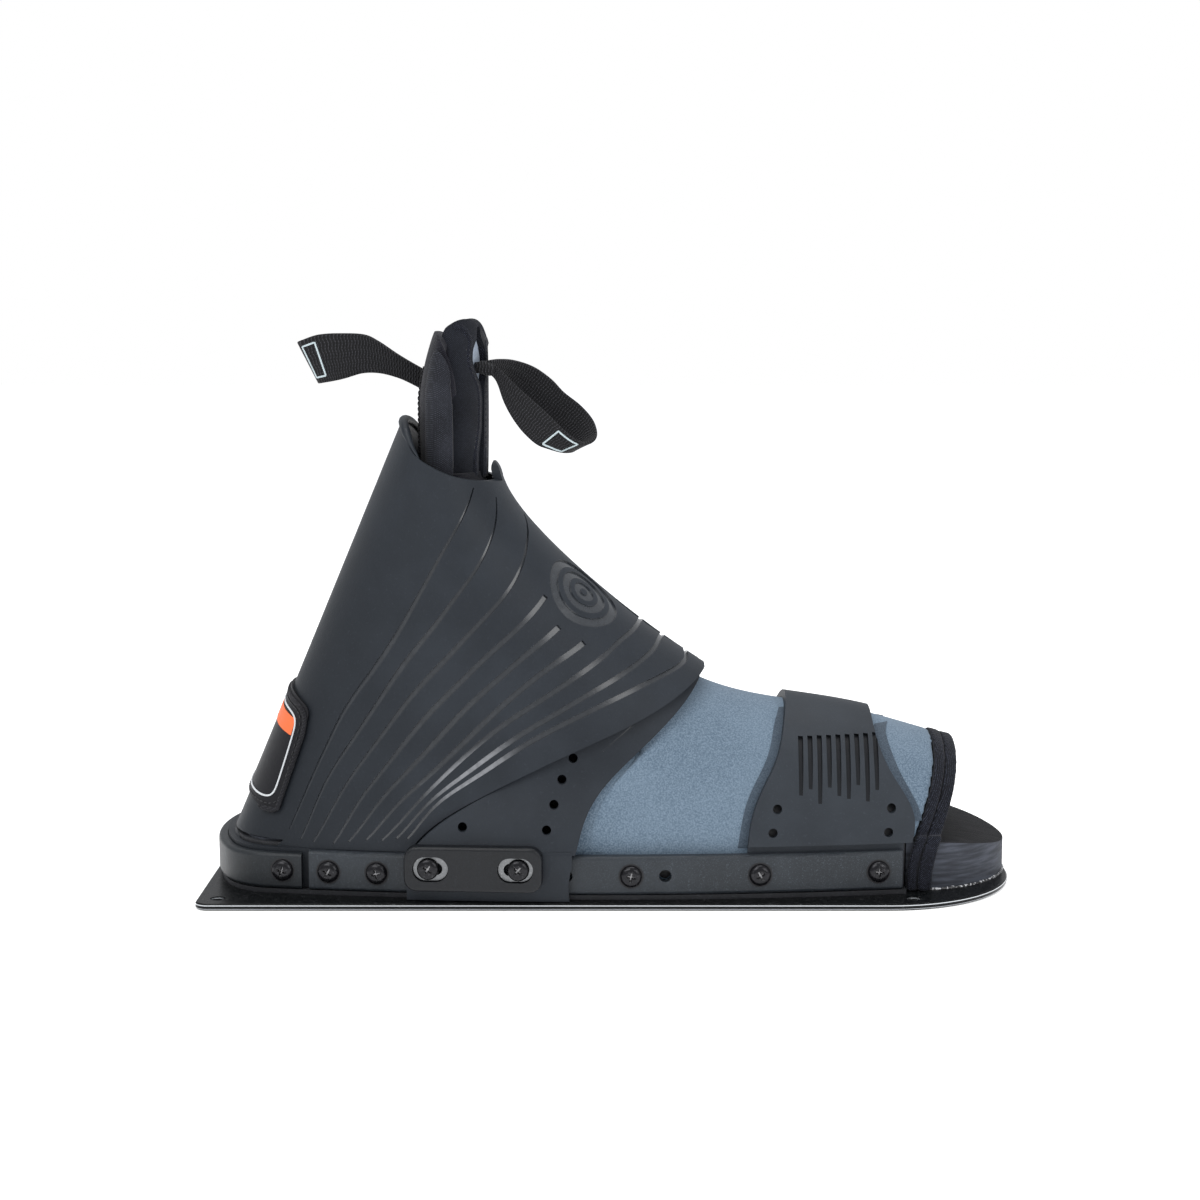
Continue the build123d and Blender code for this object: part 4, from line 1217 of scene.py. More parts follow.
@dataclass
class Wraps:
    """The two crossing rubber wraps, their fan of moulded grooves and the round pad."""

    fan: tuple = (
        (((150, 30), (145, 66), (137, 89), (115, 120), (93, 147), (72, 169), (64, 178)), 0.8),
        (((147, 26), (140, 61), (120, 97), (93, 124), (73, 142), (59, 156), (50, 165), (43, 173)), 0.8),
        (((144, 25), (134, 57), (114, 87), (86, 111), (60, 131), (38, 150), (24, 158), (8, 164)), 0.9),
        (((139, 25), (129, 50), (109, 77), (81, 100), (56, 118), (39, 131)), 2.6),
        (((135, 26), (121, 50), (93, 78), (63, 101), (39, 118)), 2.9),
        (((130, 27), (115, 47), (83, 74), (54, 97), (33, 111)), 2.9),
        (((125, 27), (107, 48), (83, 68), (52, 89), (31, 104), (18, 112), (0, 116), (-22, 111)), 2.3),
        (((120, 28), (105, 45), (82, 61), (53, 80), (33, 94), (15, 105), (0, 109), (-22, 102)), 2.3),
        (((116, 28), (102, 44), (78, 59), (48, 78), (24, 93), (7, 100), (-2, 101.5), (-22, 94)), 2.3),
    )
    pad_centre: tuple = (19, 131)
    pad_rings: tuple = ((1.6, 5.4, 0.55), (7.4, 11.6, 0.65), (13.8, 18.4, 0.8))
    crease: tuple = ((33.0, 95.0), (25.0, 89.5), (18.0, 83.2), (6.0, 73.2), (-4.7, 64.5))
    rim: tuple = ((-120, 216), (-100, 211), (-92.5, 205), (-84.5, 192), (-78, 187.7), (-69.5, 183.6),
                  (-58.8, 180.8), (-46, 178.8))
    lip_half_width: float = 2.1
    lip_half_height: float = 1.9
    lip_inset: float = 1.5
    lip_drop: float = 0.8
    tab_foot_mm: float = 183.1
    tab_levels_mm: tuple = (183.2, 184.5, 185.6, 186.5, 187.1)

    def groove(self, skin: Skin, line: Sequence[tuple[float, float]], end_width: float) -> Obj:
        """One groove's cutter on the right wing.

        Args:
            skin: the wrap's surface.
            line: (angle, height in mm) from the rail up.
            end_width: width at its upper end, in millimetres.

        Returns:
            The cutter.
        """
        path = [hit for hit in (skin.round(angle, z * MM) for angle, z in spline(line, 54)) if hit]
        count = len(path)
        return groove_cutter(path, taper(count, 1.0, 2.8, end_width, 0.45), taper(count, 0.5, 1.0, 0.95, 0.3))

    def left_groove(self, skin: Skin, line: Sequence[tuple[float, float]]) -> Optional[Obj]:
        """The same on the left wing, between its lap seam and the tail that crosses it."""
        seam_z, seam_x = (24, 60, 110, 160, 200), (-108.3, -104.0, -97.0, -88.0, -80.0)
        tail_z, tail_x = (18, 40, 84, 130, 178), (-91.0, -84.0, -68.0, -55.0, -49.0)
        path = []
        for angle, z in spline(line, 70):
            hit = skin.round(-angle, z * MM)
            if hit and np.interp(z, seam_z, seam_x) + 3 < hit[0].x / MM < np.interp(z, tail_z, tail_x) - 3 \
                    and hit[0].y > 0.02:
                path.append(hit)
        count = len(path)
        if count < 8:
            return None
        return groove_cutter(path, taper(count, 0.9, 2.3, 0.9), taper(count, 0.15, 0.85, 0.15, 0.5))

    def ring(self, skin: Skin, inner: float, outer: float, depth: float) -> Obj:
        """Cutter of one round channel of the pad.

        Args:
            skin: the wrap's surface.
            inner: inner radius, in millimetres.
            outer: outer radius, in millimetres.
            depth: depth, in millimetres.

        Returns:
            The closed ring.
        """
        angle, z = self.pad_centre
        place, normal = skin.round(angle, z * MM)
        up = (Vector((0, 0, 1)) - normal * normal.z).normalized()
        side = normal.cross(up)
        rows = []
        for cos, sin in circle(72) + circle(72)[:1]:
            out = side * cos + up * sin
            row = []
            section = ((inner, 1.8), (outer, 1.8), (outer - 0.25, -depth), (inner + 0.25, -depth))
            for radius, level in section:
                hit = skin.cast(place + out * (radius * MM) + normal * 0.02, -normal)
                base = hit[0] if hit else place + out * (radius * MM)
                row.append(base + normal * (level * MM))
            rows.append(row + [row[0]])
        return paint(edit(lattice("ring", rows), weld(0.001), face_out), GROOVE)

    def rim_lip(self) -> None:
        """Rounded lip round the rear of the cuff's rim, fading into it at each side."""
        skin = Skin("outer_wrap", "inner_wrap")
        xs, zs = zip(*spline(self.rim, 60))
        places = []
        for angle in np.linspace(96, 264, 86):
            height, hit = 190.0, None
            for _ in range(12):
                hit = skin.round(angle, (height - 2.5) * MM) or hit
                if hit:
                    height += 0.6 * (float(np.interp(hit[0].x / MM, xs, zs)) - height)
            if hit:
                out = Vector((hit[1].x, hit[1].y, 0)).normalized()
                foot = hit[0] - out * (self.lip_inset * MM)
                places.append([*foot.xy, (height - self.lip_drop) * MM, *out.xy])
        path = np.array(places)
        last = len(path) - 1
        path[3:-3] = sum(path[3 + shift:last - 2 + shift] for shift in range(-3, 4)) / 7
        rings = []
        for step, (x, y, z, out_x, out_y) in enumerate(path):
            fade = min(1.0, 0.15 + step / 12, 0.15 + (last - step) / 12)
            out = Vector((out_x, out_y, 0)).normalized()
            rings.append([Vector((x, y, z)) + out * (self.lip_half_width * fade * MM * cos)
                          + Vector((0, 0, self.lip_half_height * fade * MM * sin))
                           for cos, sin in circle(12)])
        seat(smooth(paint(tube("rim_lip", rings), WRAP_RUBBER), 70), "boot", "wrap_rubber")

    def round_tab(self, obj: Obj) -> Obj:
        """Rounds the top of the small tab in front of the tongue.

        Args:
            obj: the outer wrap.

        Returns:
            The outer wrap.
        """
        for level in self.tab_levels_mm:
            edit(obj, lambda: bpy.ops.mesh.bisect(plane_co=(0, 0, level * MM), plane_no=(0, 0, 1)))
        foot = self.tab_foot_mm * MM
        for vertex in obj.data.vertices:
            if vertex.co.z > foot and vertex.co.x > -0.0575 and abs(vertex.co.y) < 0.0085:
                rise = min(1.0, (vertex.co.z - foot) / 0.0045)
                vertex.co.x += (-0.0523 - vertex.co.x) * 0.8 * rise**2.2
        return obj

    def build(self) -> None:
        """Makes both wraps with their grooves, and the lip."""
        right = Skin("outer_wrap")
        outer = self.round_tab(paint(node_copy("outer_wrap", "outer_wrap_rubber"), WRAP_RUBBER))
        carve(outer, [self.groove(right, line, width) for line, width in self.fan])
        carve(outer, [self.ring(right, *sizes) for sizes in self.pad_rings])
        seat(smooth(outer, 30), "boot", "wrap_rubber", "outer_wrap")
        left = Skin("inner_wrap")
        inner = paint(node_copy("inner_wrap", "inner_wrap_rubber"), WRAP_RUBBER)
        carve(inner, [c for c in (self.left_groove(left, line) for line, _ in self.fan[:7]) if c])
        crease = surface_path(left, self.crease, 24)
        count = len(crease)
        carve(inner, [groove_cutter(crease, taper(count, 1.3, 0.8, 0.2), taper(count, 0.7, 0.5, 0.1))])
        seat(smooth(inner, 30), "boot", "wrap_rubber", "inner_wrap")
        self.rim_lip()


@dataclass
class Sleeve:
    """Forefoot sleeve with its bindings, the liner under it, and the toe strap."""

    rear_edge: tuple = ((58.4, 24), (62.5, 42.6), (72.3, 60.4), (76.4, 72.5), (79.0, 77.5))
    front_edge: tuple = ((128.6, 24), (131.0, 36.0), (122.4, 53.8), (118.6, 66.0), (120.5, 70.0))
    rib_xs: tuple = (82.0, 86.2, 90.4, 94.6, 98.8, 103.0, 107.2, 111.4, 115.6)
    wrap_edge: tuple = ((-18, 3.0), (-17.5, 16.7), (-15, 25.7), (-11.5, 37.3), (-5, 48.4), (5.9, 59.5),
                        (21, 72.8))
    spare_holes: tuple = ((71.6, 40.7), (69.5, 31.0), (67.4, 21.7), (121.6, 39.8), (120.0, 30.0),
                          (118.4, 20.7), (23.0, 13.8), (-19.5, 13.8))

    def build(self) -> None:
        """Makes the soft forefoot."""
        sleeve = paint(softened("forefoot_sleeve", "sleeve_jersey", 1.3, 6), JERSEY)
        seat(sleeve, "boot", "sleeve_fabric", "forefoot_sleeve")
        lining = paint(softened("forefoot_liner", "forefoot_lining", 1.6, 3), LINER, JERSEY)
        for face in lining.data.polygons:
            outside = face.normal.y * face.center.y > 0 and abs(face.normal.y) > 0.3
            if outside and -0.040 < face.center.x < 0.030 and 0.020 < face.center.z < 0.075:
                face.material_index = 1
        seat(lining, "boot", "liner_fabric", "forefoot_liner")
        for node in ("sleeve_binding", "liner_binding"):
            seat(paint(softened(node, f"{node}_knit", 0.75, 8), KNIT_TAPE), "boot", "binding", node)
        self.strap()
        self.strap_shade()
        self.hole_shade_caps()
        self.gusset()
        self.hem()

    def hem(self) -> None:
        """Jersey hem that runs down behind each rail."""
        skin = Skin("forefoot_sleeve")
        for hand in Hand:
            rows = []
            for x in np.linspace(-4.0, 64.0, 70):
                row = [skin.side(x * MM, z * MM, hand is Hand.RIGHT) for z in np.linspace(19.5, 27.5, 7)]
                if all(row):
                    rows.append([hit[0] - hit[1] * 0.0002 for hit in row])
            hem = lattice(f"sleeve_hem_{hand.value}", rows)
            thicken(hem, 0.6)
            seat(smooth(paint(hem, JERSEY), 60), "boot", "sleeve_fabric")

    def gusset(self) -> None:
        """Jersey that closes the sleeve under the wrap's front edge."""
        skin = Skin("forefoot_sleeve")
        zs = np.linspace(22.5, 68.0, 30)
        for hand in Hand:
            rows = []
            for z in zs:
                edge = float(np.interp(z, [p[1] for p in self.wrap_edge], [p[0] for p in self.wrap_edge]))
                hit = skin.side((edge + 13.0) * MM, z * MM, hand is Hand.RIGHT)
                if hit:
                    inward = -MM if hit[0].y > 0 else MM
                    rows.append([Vector(((edge - 3.5 + 15.5 * share) * MM,
                                         hit[0].y + inward * (0.25 + 0.7 * (1 - share)), z * MM))
                                 for share in np.linspace(0, 1, 9)])
            gusset = lattice(f"sleeve_gusset_{hand.value}", rows)
            thicken(gusset, 0.8)
            seat(smooth(paint(gusset, JERSEY), 60), "boot", "sleeve_fabric")

    def hole_shade_caps(self) -> None:
        """Dark, shallow caps at the bottom of the unused screw holes, as painted shade for the holes' depth.
        """
        skin = Skin("forefoot_sleeve", "forefoot_liner", "chassis")
        caps = []
        for hand in Hand:
            for x, z in self.spare_holes:
                hit = skin.side(x * MM, z * MM, hand is Hand.RIGHT)
                if hit is None:
                    continue
                place, normal = hit
                up = (Vector((0, 0, 1)) - normal * normal.z).normalized()
                side = normal.cross(up)
                rings = []
                for radius, level in ((2.7, -0.3), (2.7, 0.10), (1.4, 0.24), (0.1, 0.28)):
                    rings.append([place + normal * (level * MM) + (side * cos + up * sin) * (radius * MM)
                                  for cos, sin in circle(16)])
                caps.append(tube("cap", rings))
        seat(smooth(paint(join(caps, "hole_shade_caps"), PAINTED_HOLE_SHADE), 50), "boot", "strap_rubber")

    def strap(self) -> None:
        """Toe strap with its fading ribs."""
        skin = Skin("toe_strap")
        strap = paint(node_copy("toe_strap", "toe_strap_rubber"), FLAP_RUBBER)
        cutters = []
        for hand in Hand:
            for number, x in enumerate(self.rib_xs):
                low = 46.0 + 3.5 * math.sin(number * 2.4)
                path = []
                for z in np.linspace(68.5, low, 16):
                    lean = (z - 46.0) * 0.05
                    hit = skin.side((x + lean) * MM, z * MM, hand is Hand.RIGHT)
                    if hit:
                        path.append(hit)
                if len(path) > 5:
                    count = len(path)
                    # The ribs' floors take the darker rubber, as painted shade.
                    cutters.append(groove_cutter(path, taper(count, 2.5, 2.4, 2.0, 0.5),
                                                 taper(count, 1.2, 0.8, 0.05, 0.5), SHADED_RIB_FLOOR))
        carve(strap, cutters)
        seat(smooth(strap, 32), "boot", "strap_rubber", "toe_strap")

    def strap_shade(self) -> None:
        """Darker borders of the sleeve along the strap, painted shade beside its edges."""
        skin = Skin("forefoot_sleeve")
        for hand in Hand:
            for name, line, reach in (("rear", self.rear_edge, -4.0), ("front", self.front_edge, 4.0)):
                rows = []
                for x, z in spline(line, 26):
                    row = []
                    for share in np.linspace(-0.6, 1.0, 6):
                        hit = skin.side((x + reach * share) * MM, z * MM, hand is Hand.RIGHT)
                        if hit:
                            row.append(hit[0] + hit[1] * 0.00012)
                    if len(row) == 6:
                        rows.append(row)
                border = lattice(f"sleeve_border_{name}_{hand.value}", rows)
                thicken(border, 0.5)
                seat(smooth(paint(border, SHADE_JERSEY), 50), "boot", "sleeve_fabric")


@dataclass
class Collar:
    """Heel liner, free heel tab and split tongue, with their tapes and stitches."""

    bootie_top: float = 183.5
    corner_drop: float = 4.0
    tab_centre: float = -69.0
    tab_run: float = 15.8
    tab_half: float = 30.0
    tab_wall: float = 4.5
    tab_crown: tuple = ((-90, 243.6), (-82, 243.6), (-77.6, 242.0), (-73.5, 236.0), (-70.5, 229.5),
                        (-69, 222.0))
    flap_arch: tuple = ((50, 220), (53, 229), (57, 234.2), (63, 236.2), (70, 235.2), (78, 232.2),
                        (84, 227.6), (88, 221.5), (91, 213))
    tongue_centre: float = -71.5
    tongue_run: float = 16.4
    tongue_half: float = 23.0
    tongue_wall: float = 6.0
    tongue_crown: tuple = ((-72, 243.5), (-69.5, 247.2), (-65.7, 249.4), (-61.7, 249.4), (-58.7, 247.2),
                           (-56.5, 243.6), (-55.1, 240.6))
    slit_line: tuple = ((180, 33, 5.5), (192, 33, 6.0), (197, 31, 4.5), (203, 29, 2.6), (215, 28, 2.4),
                        (221, 29, 4.5),
                        (227, 31, 14.0), (232, 33, 18.0), (237, 35, 15.0), (242, 38, 4.0), (252, 38, 1.2))

    def build(self) -> None:
        """Makes the soft collar."""
        bootie = paint(softened("heel_liner", "bootie_jersey", 1.6, 3), LINER)
        edit(bootie, lambda: bpy.ops.mesh.bisect(plane_co=(0, 0, self.bootie_top * MM), plane_no=(0, 0, 1),
                                                 clear_outer=True, use_fill=True))
        seat(smooth(bootie, 60), "boot", "liner_fabric", "heel_liner")
        self.heel_tab()
        self.side_flaps()
        self.tab_webbing()
        self.tongue()

    def tab_point(self, turn: float, z: float, inset: float = 0.0) -> Vector:
        """Point of the heel tab's wall.

        Args:
            turn: degrees round from the rear, positive on the right.
            z: height in millimetres.
            inset: depth below the outer face, in millimetres.

        Returns:
            The point, in metres.
        """
        lean = 6.5 * max(0.0, (z - 214.0) / 30.0) ** 1.5 * math.cos(math.radians(turn))
        run, half = self.tab_run - inset, self.tab_half - inset
        x = self.tab_centre - run * math.cos(math.radians(turn)) + lean
        return Vector((x, -half * math.sin(math.radians(turn)), z)) * MM

    def tongue_point(self, turn: float, z: float, inset: float = 0.0) -> Vector:
        """Point of the tongue's wall, with turn in degrees from the front, positive on the right."""
        run, half = self.tongue_run - inset, self.tongue_half - inset
        x = self.tongue_centre + run * math.cos(math.radians(turn))
        return Vector((x, -half * math.sin(math.radians(turn)), z)) * MM

    def wall(self, name: str, point: Callable[[float, float, float], Vector],
             span: Callable[[float], tuple[float, float]], low: float, crown: Sequence[Sequence[float]],
             wall: float) -> Obj:
        """A padded wall between a level and a crown line.

        Args:
            name: the object's name.
            point: gives a point from turn, height and inset.
            span: gives the first and last turn at a height.
            low: height of its foot.
            crown: its top line as x, z, in millimetres.
            wall: thickness.

        Returns:
            The closed, round-edged wall.
        """
        xs, zs = zip(*sorted(map(tuple, spline(crown, 60))))
        rows = []
        for share in np.linspace(0, 1, 44):
            row = []
            for across in np.linspace(0, 1, 42):
                z, turn = low + (zs[0] - low) * share, 0.0
                for _ in range(4):
                    first, last = span(z)
                    turn = first + (last - first) * across
                    top = float(np.interp(point(turn, low, 0.0).x / MM, xs, zs))
                    top -= self.corner_drop * max(0.0, across * 8 - 7) ** 2
                    z = low + (top - low) * (1 - (1 - share) ** 1.25)
                bulge = 0.55 * math.sin(math.pi * share) ** 0.5
                row.append(point(turn, z, wall / 2 - bulge))
            rows.append(row)
        obj = lattice(name, rows)
        thicken(obj, wall, use_even_offset=True)
        bevel(obj, wall * 0.36)
        apply(obj, "SUBSURF", levels=1, render_levels=1)
        return smooth(obj, 60)

    def hinge_tab(self, piece: Obj) -> Obj:
        """Bakes a finished piece's placement into its mesh and logs it."""
        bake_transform(piece)
        log.info("%-24s %6d faces, bends with heel_tab", piece.name, len(piece.data.polygons))
        return piece

    def hinge_tongue(self, piece: Obj) -> Obj:
        """Bakes a finished piece's placement into its mesh and logs it."""
        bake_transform(piece)
        log.info("%-24s %6d faces, bends with tongue", piece.name, len(piece.data.polygons))
        return piece

    def heel_tab(self) -> None:
        """Padded rear panel."""
        panel = self.wall("heel_tab_jersey", self.tab_point, lambda z: (-90.0, 90.0), 186.0, self.tab_crown,
                          self.tab_wall)
        self.hinge_tab(paint(panel, LINER))
        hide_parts("heel_tab")

    def side_flaps(self) -> None:
        """Pointed knit flap on each side of the tab, with a rolled edge."""
        turns, tops = zip(*spline(self.flap_arch, 60))
        for sign, hand in ((1, Hand.RIGHT), (-1, Hand.LEFT)):
            rows = []
            for share in np.linspace(0, 1, 44):
                row = []
                for across in np.linspace(0, 1, 26):
                    turn = 50.0 + 41.0 * across
                    top = float(np.interp(turn, turns, tops))
                    z = 183.0 + (top - 183.0) * (1 - (1 - share) ** 1.3)
                    roll = 1.1 * math.sin(math.pi * min(1.0, across * 1.15)) ** 0.5
                    puff = 0.4 + 0.6 * math.sin(math.pi * share) ** 0.4
                    row.append(self.tab_point(sign * turn, z, -0.9 - roll * puff))
                rows.append(row)
            flap = lattice(f"side_flap_{hand.value}", rows)
            thicken(flap, 2.8)
            bevel(flap, 1.1)
            self.hinge_tab(smooth(paint(flap, FLAP_KNIT), 70))

    def tab_webbing(self) -> None:
        """Ribbed webbing sewn up the tab's rear."""
        rows = []
        for z in np.linspace(185.0, 229.5, 150):
            ripple = 0.28 * math.sin(z * 2 * math.pi / 2.4)
            rows.append([self.tab_point(turn, z, -0.45 + ripple * math.cos(math.radians(turn * 4)))
                         for turn in np.linspace(-15, 15, 13)])
        webbing = lattice("heel_tab_webbing", rows)
        thicken(webbing, 1.4)
        self.hinge_tab(smooth(paint(webbing, WEBBING), 60))

    def slit(self, z: float) -> tuple[float, float]:
        """Middle and half-width of the tongue's slit at a height, in degrees."""
        heights, middles, halves = zip(*self.slit_line)
        return float(np.interp(z, heights, middles)), float(np.interp(z, heights, halves))

    def edge_turn(self, z: float, sign: int, away: float) -> float:
        """Turn of a line that keeps a distance in degrees from one edge of the slit."""
        middle, half = self.slit(z)
        return middle + sign * (half + away)

    def on_tongue(self, turn: float, z: float, inset: float) -> Hit:
        """Place and outward normal on the tongue."""
        normal = Vector((math.cos(math.radians(turn)), -math.sin(math.radians(turn)), 0))
        return self.tongue_point(turn, z, inset), normal

    def tongue(self) -> None:
        """Two lobes with taped, stitched edges over a pale lining."""
        xs, tops = zip(*sorted(self.tongue_crown))
        for sign, hand in ((1, Hand.RIGHT), (-1, Hand.LEFT)):
            span = (lambda z: (self.edge_turn(z, 1, 0.5), 90.0)) if sign > 0 else (
                lambda z: (self.edge_turn(z, -1, 0.5), -90.0))
            lobe = self.wall(f"tongue_{hand.value}", self.tongue_point, span, 181.0, self.tongue_crown,
                             self.tongue_wall)
            self.hinge_tongue(paint(lobe, TONGUE_KNIT))
            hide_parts("tongue")
            bend = 240.0
            edge = [self.on_tongue(self.edge_turn(z, sign, 7.0), z, 2.5)
                    for z in np.linspace(182.0, bend, 56)]
            start = self.edge_turn(bend, sign, 7.0)
            for share in np.linspace(0.04, 1.0, 22):
                turn = start + (sign * 78.0 - start) * share
                crown = float(np.interp(self.tongue_point(turn, bend).x / MM, xs, tops)) - 1.9
                z = bend + (crown - bend) * math.sin(share * math.pi / 2) ** 0.7
                edge.append(self.on_tongue(turn, z, 2.5))
            for _ in range(8):
                edge[1:-1] = [((a[0] + b[0] * 2 + c[0]) / 4, b[1])
                              for a, b, c in zip(edge, edge[1:], edge[2:])]
            edging = paint(tape(f"tongue_tape_{hand.value}", edge, 4.4, 6.7), KNIT_TAPE)
            self.hinge_tongue(edging)
            seam = []
            for away in (5.4, 10.4):
                for z in np.arange(194.5, 238.0, 2.5):
                    seam.append(self.on_tongue(self.edge_turn(z, sign, away), z, -0.6 if away < 6 else -0.3))
            seat(stitches(f"tongue_seam_{hand.value}", seam, BLACK_THREAD, 1.9, 0.55), "tongue", "binding")
        rows = []
        for z in np.linspace(184.0, 243.0, 48):
            middle, half = self.slit(z)
            rows.append([self.tongue_point(turn, z, 3.2)
                         for turn in np.linspace(middle - half - 9, middle + half + 9, 13)])
        lining = lattice("tongue_lining", rows)
        thicken(lining, 1.2)
        self.hinge_tongue(smooth(paint(lining, PALE_LINING), 60))


@dataclass
class PullLoops:
    """Two loops of ribbed webbing with a plain pale frame printed near their far fold."""

    thickness: float = 1.5
    rear_ply: tuple = (
        (-81.5, -0.7, 227.2, -82.6, -0.7, 218.4),
        (-84.6, -1.0, 228.8, -85.2, -1.0, 219.6),
        (-89.0, -1.8, 231.2, -89.2, -1.8, 221.8),
        (-95.2, -2.6, 234.9, -94.8, -2.6, 224.3),
        (-103.8, -3.4, 240.6, -102.5, -3.4, 226.3),
        (-110.2, -3.9, 243.4, -110.2, -3.9, 226.3),
        (-120.5, -4.1, 243.9, -118.6, -4.3, 223.9),
        (-129.5, -3.8, 243.4, -123.8, -4.1, 222.8),
        (-136.4, -2.9, 241.2, -128.0, -3.1, 222.1),
        (-138.6, -1.4, 240.4, -129.4, -1.5, 221.9),
    )
    front_ply: tuple = (
        (-60.0, -12.4, 231.0, -60.0, -12.4, 226.6),
        (-54.6, -12.2, 231.4, -54.8, -12.2, 226.6),
        (-50.2, -11.2, 229.4, -50.8, -11.6, 223.4),
        (-43.4, -10.4, 222.6, -47.4, -11.8, 214.2),
        (-37.0, -9.9, 216.6, -43.6, -12.0, 207.0),
        (-30.5, -9.5, 210.9, -38.8, -12.0, 200.6),
        (-23.0, -9.1, 203.6, -32.8, -11.5, 195.2),
        (-17.0, -8.3, 198.2, -27.2, -10.2, 193.0),
        (-12.0, -6.2, 195.8, -22.4, -7.4, 191.8),
        (-8.0, -3.0, 196.6, -18.6, -3.6, 191.6),
        (-6.4, 0.8, 199.8, -16.8, 0.8, 192.4),
        (-8.2, 4.6, 205.4, -18.0, 5.0, 195.6),
        (-13.6, 7.4, 211.6, -23.6, 8.4, 199.8),
        (-21.2, 8.0, 217.6, -31.0, 9.4, 205.0),
        (-26.8, 7.6, 223.4, -37.0, 9.0, 211.0),
        (-34.4, 6.0, 228.8, -42.6, 7.4, 217.4),
        (-42.6, 2.0, 231.8, -47.8, 2.4, 223.4),
        (-49.2, -4.6, 232.6, -51.4, -5.0, 226.8),
        (-54.4, -10.6, 232.2, -54.8, -10.8, 227.4),
        (-60.0, -11.6, 231.4, -60.0, -11.6, 227.0),
    )

    def surface(self, controls: Sequence[Sequence[float]]) -> np.ndarray:
        """Points of a band's middle surface, rows along it by places across it.

        Args:
            controls: top and bottom edge points along the band, x, y, z and x, y, z, in millimetres.

        Returns:
            An array of rows, places and coordinates, in metres.
        """
        edges = spline(controls, 170)
        shares = np.linspace(0, 1, 12)[None, :, None]
        return (edges[:, None, 3:] * (1 - shares) + edges[:, None, :3] * shares) * MM

    def band(self, name: str, surface: np.ndarray) -> Obj:
        """A closed band of webbing on a middle surface."""
        obj = lattice(name, [[Vector(place) for place in row] for row in surface])
        thicken(obj, self.thickness)
        return smooth(paint(bevel(obj, 0.5, 2), WEBBING), 50)

    def frame(self, name: str, body: str, surface: np.ndarray, along: tuple[float, float],
              across: tuple[float, float]) -> None:
        """A plain rectangular line printed on the band's near face.

        Args:
            name: the object's name.
            body: what it rides on.
            surface: the band's middle surface.
            along: first and last share along the band.
            across: first and last share across it.
        """
        (first, last), (low, high) = along, across
        corners = [(first, low), (last, low), (last, high), (first, high), (first, low)]
        path = []
        for (u0, v0), (u1, v1) in zip(corners, corners[1:]):
            for share in np.linspace(0, 1, 14, endpoint=False):
                row = (u0 + (u1 - u0) * share) * (len(surface) - 1)
                column = (v0 + (v1 - v0) * share) * (surface.shape[1] - 1)
                i, j = int(row), int(column)
                down, right = row - i, column - j
                place = sum(surface[i + a, j + b] * (down if a else 1 - down) * (right if b else 1 - right)
                            for a, b in ((0, 0), (1, 0), (0, 1), (1, 1)))
                here = surface[i, j]
                normal = Vector(np.cross(surface[i + 1, j] - here, surface[i, j + 1] - here)).normalized()
                if normal.y > 0:
                    normal = -normal
                path.append((Vector(place) + normal * ((self.thickness / 2 + 0.08) * MM), normal))
        path.append(path[0])
        seat(paint(tape(name, path, 0.8, 0.3, 8), PALE_LINE), body, "webbing")

    def knot(self) -> None:
        """Bar-tacked knot where the front loop passes through the slit."""
        rings = []
        for share in np.linspace(0, 1, 15):
            size = 1.5 + 1.5 * math.sin(math.pi * share) ** 0.6
            ring = []
            for k in range(18):
                turn = 2 * math.pi * k / 18
                folds = 0.10 * math.sin(3 * turn + 9 * share) + 0.05 * math.sin(7 * turn - 14 * share)
                radius = size * (1 + folds)
                ring.append(Vector((-59.4 + 8.0 * share, -12.2 + radius * math.cos(turn) * 0.8,
                                    229.4 - 1.2 * share + radius * math.sin(turn))) * MM)
            rings.append(ring)
        seat(smooth(paint(tube("front_loop_knot", rings), WEBBING), 60), "tongue", "webbing")

    def build(self) -> None:
        """Makes both loops."""
        far_ply = tuple((t[0], -t[1], t[2], t[3], -t[4], t[5]) for t in reversed(self.rear_ply))
        surface = self.surface(self.rear_ply + far_ply)
        rear = self.band("rear_loop_webbing", surface)
        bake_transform(rear)
        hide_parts("rear_pull_loop")
        self.frame("rear_loop_label", "rear_loop", surface, (0.432, 0.476), (0.14, 0.86))
        surface = self.surface(self.front_ply)
        front = self.band("front_loop_webbing", surface)
        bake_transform(front)
        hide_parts("front_pull_loop")
        self.frame("front_loop_label", "front_loop", surface, (0.335, 0.405), (0.12, 0.82))
        self.knot()


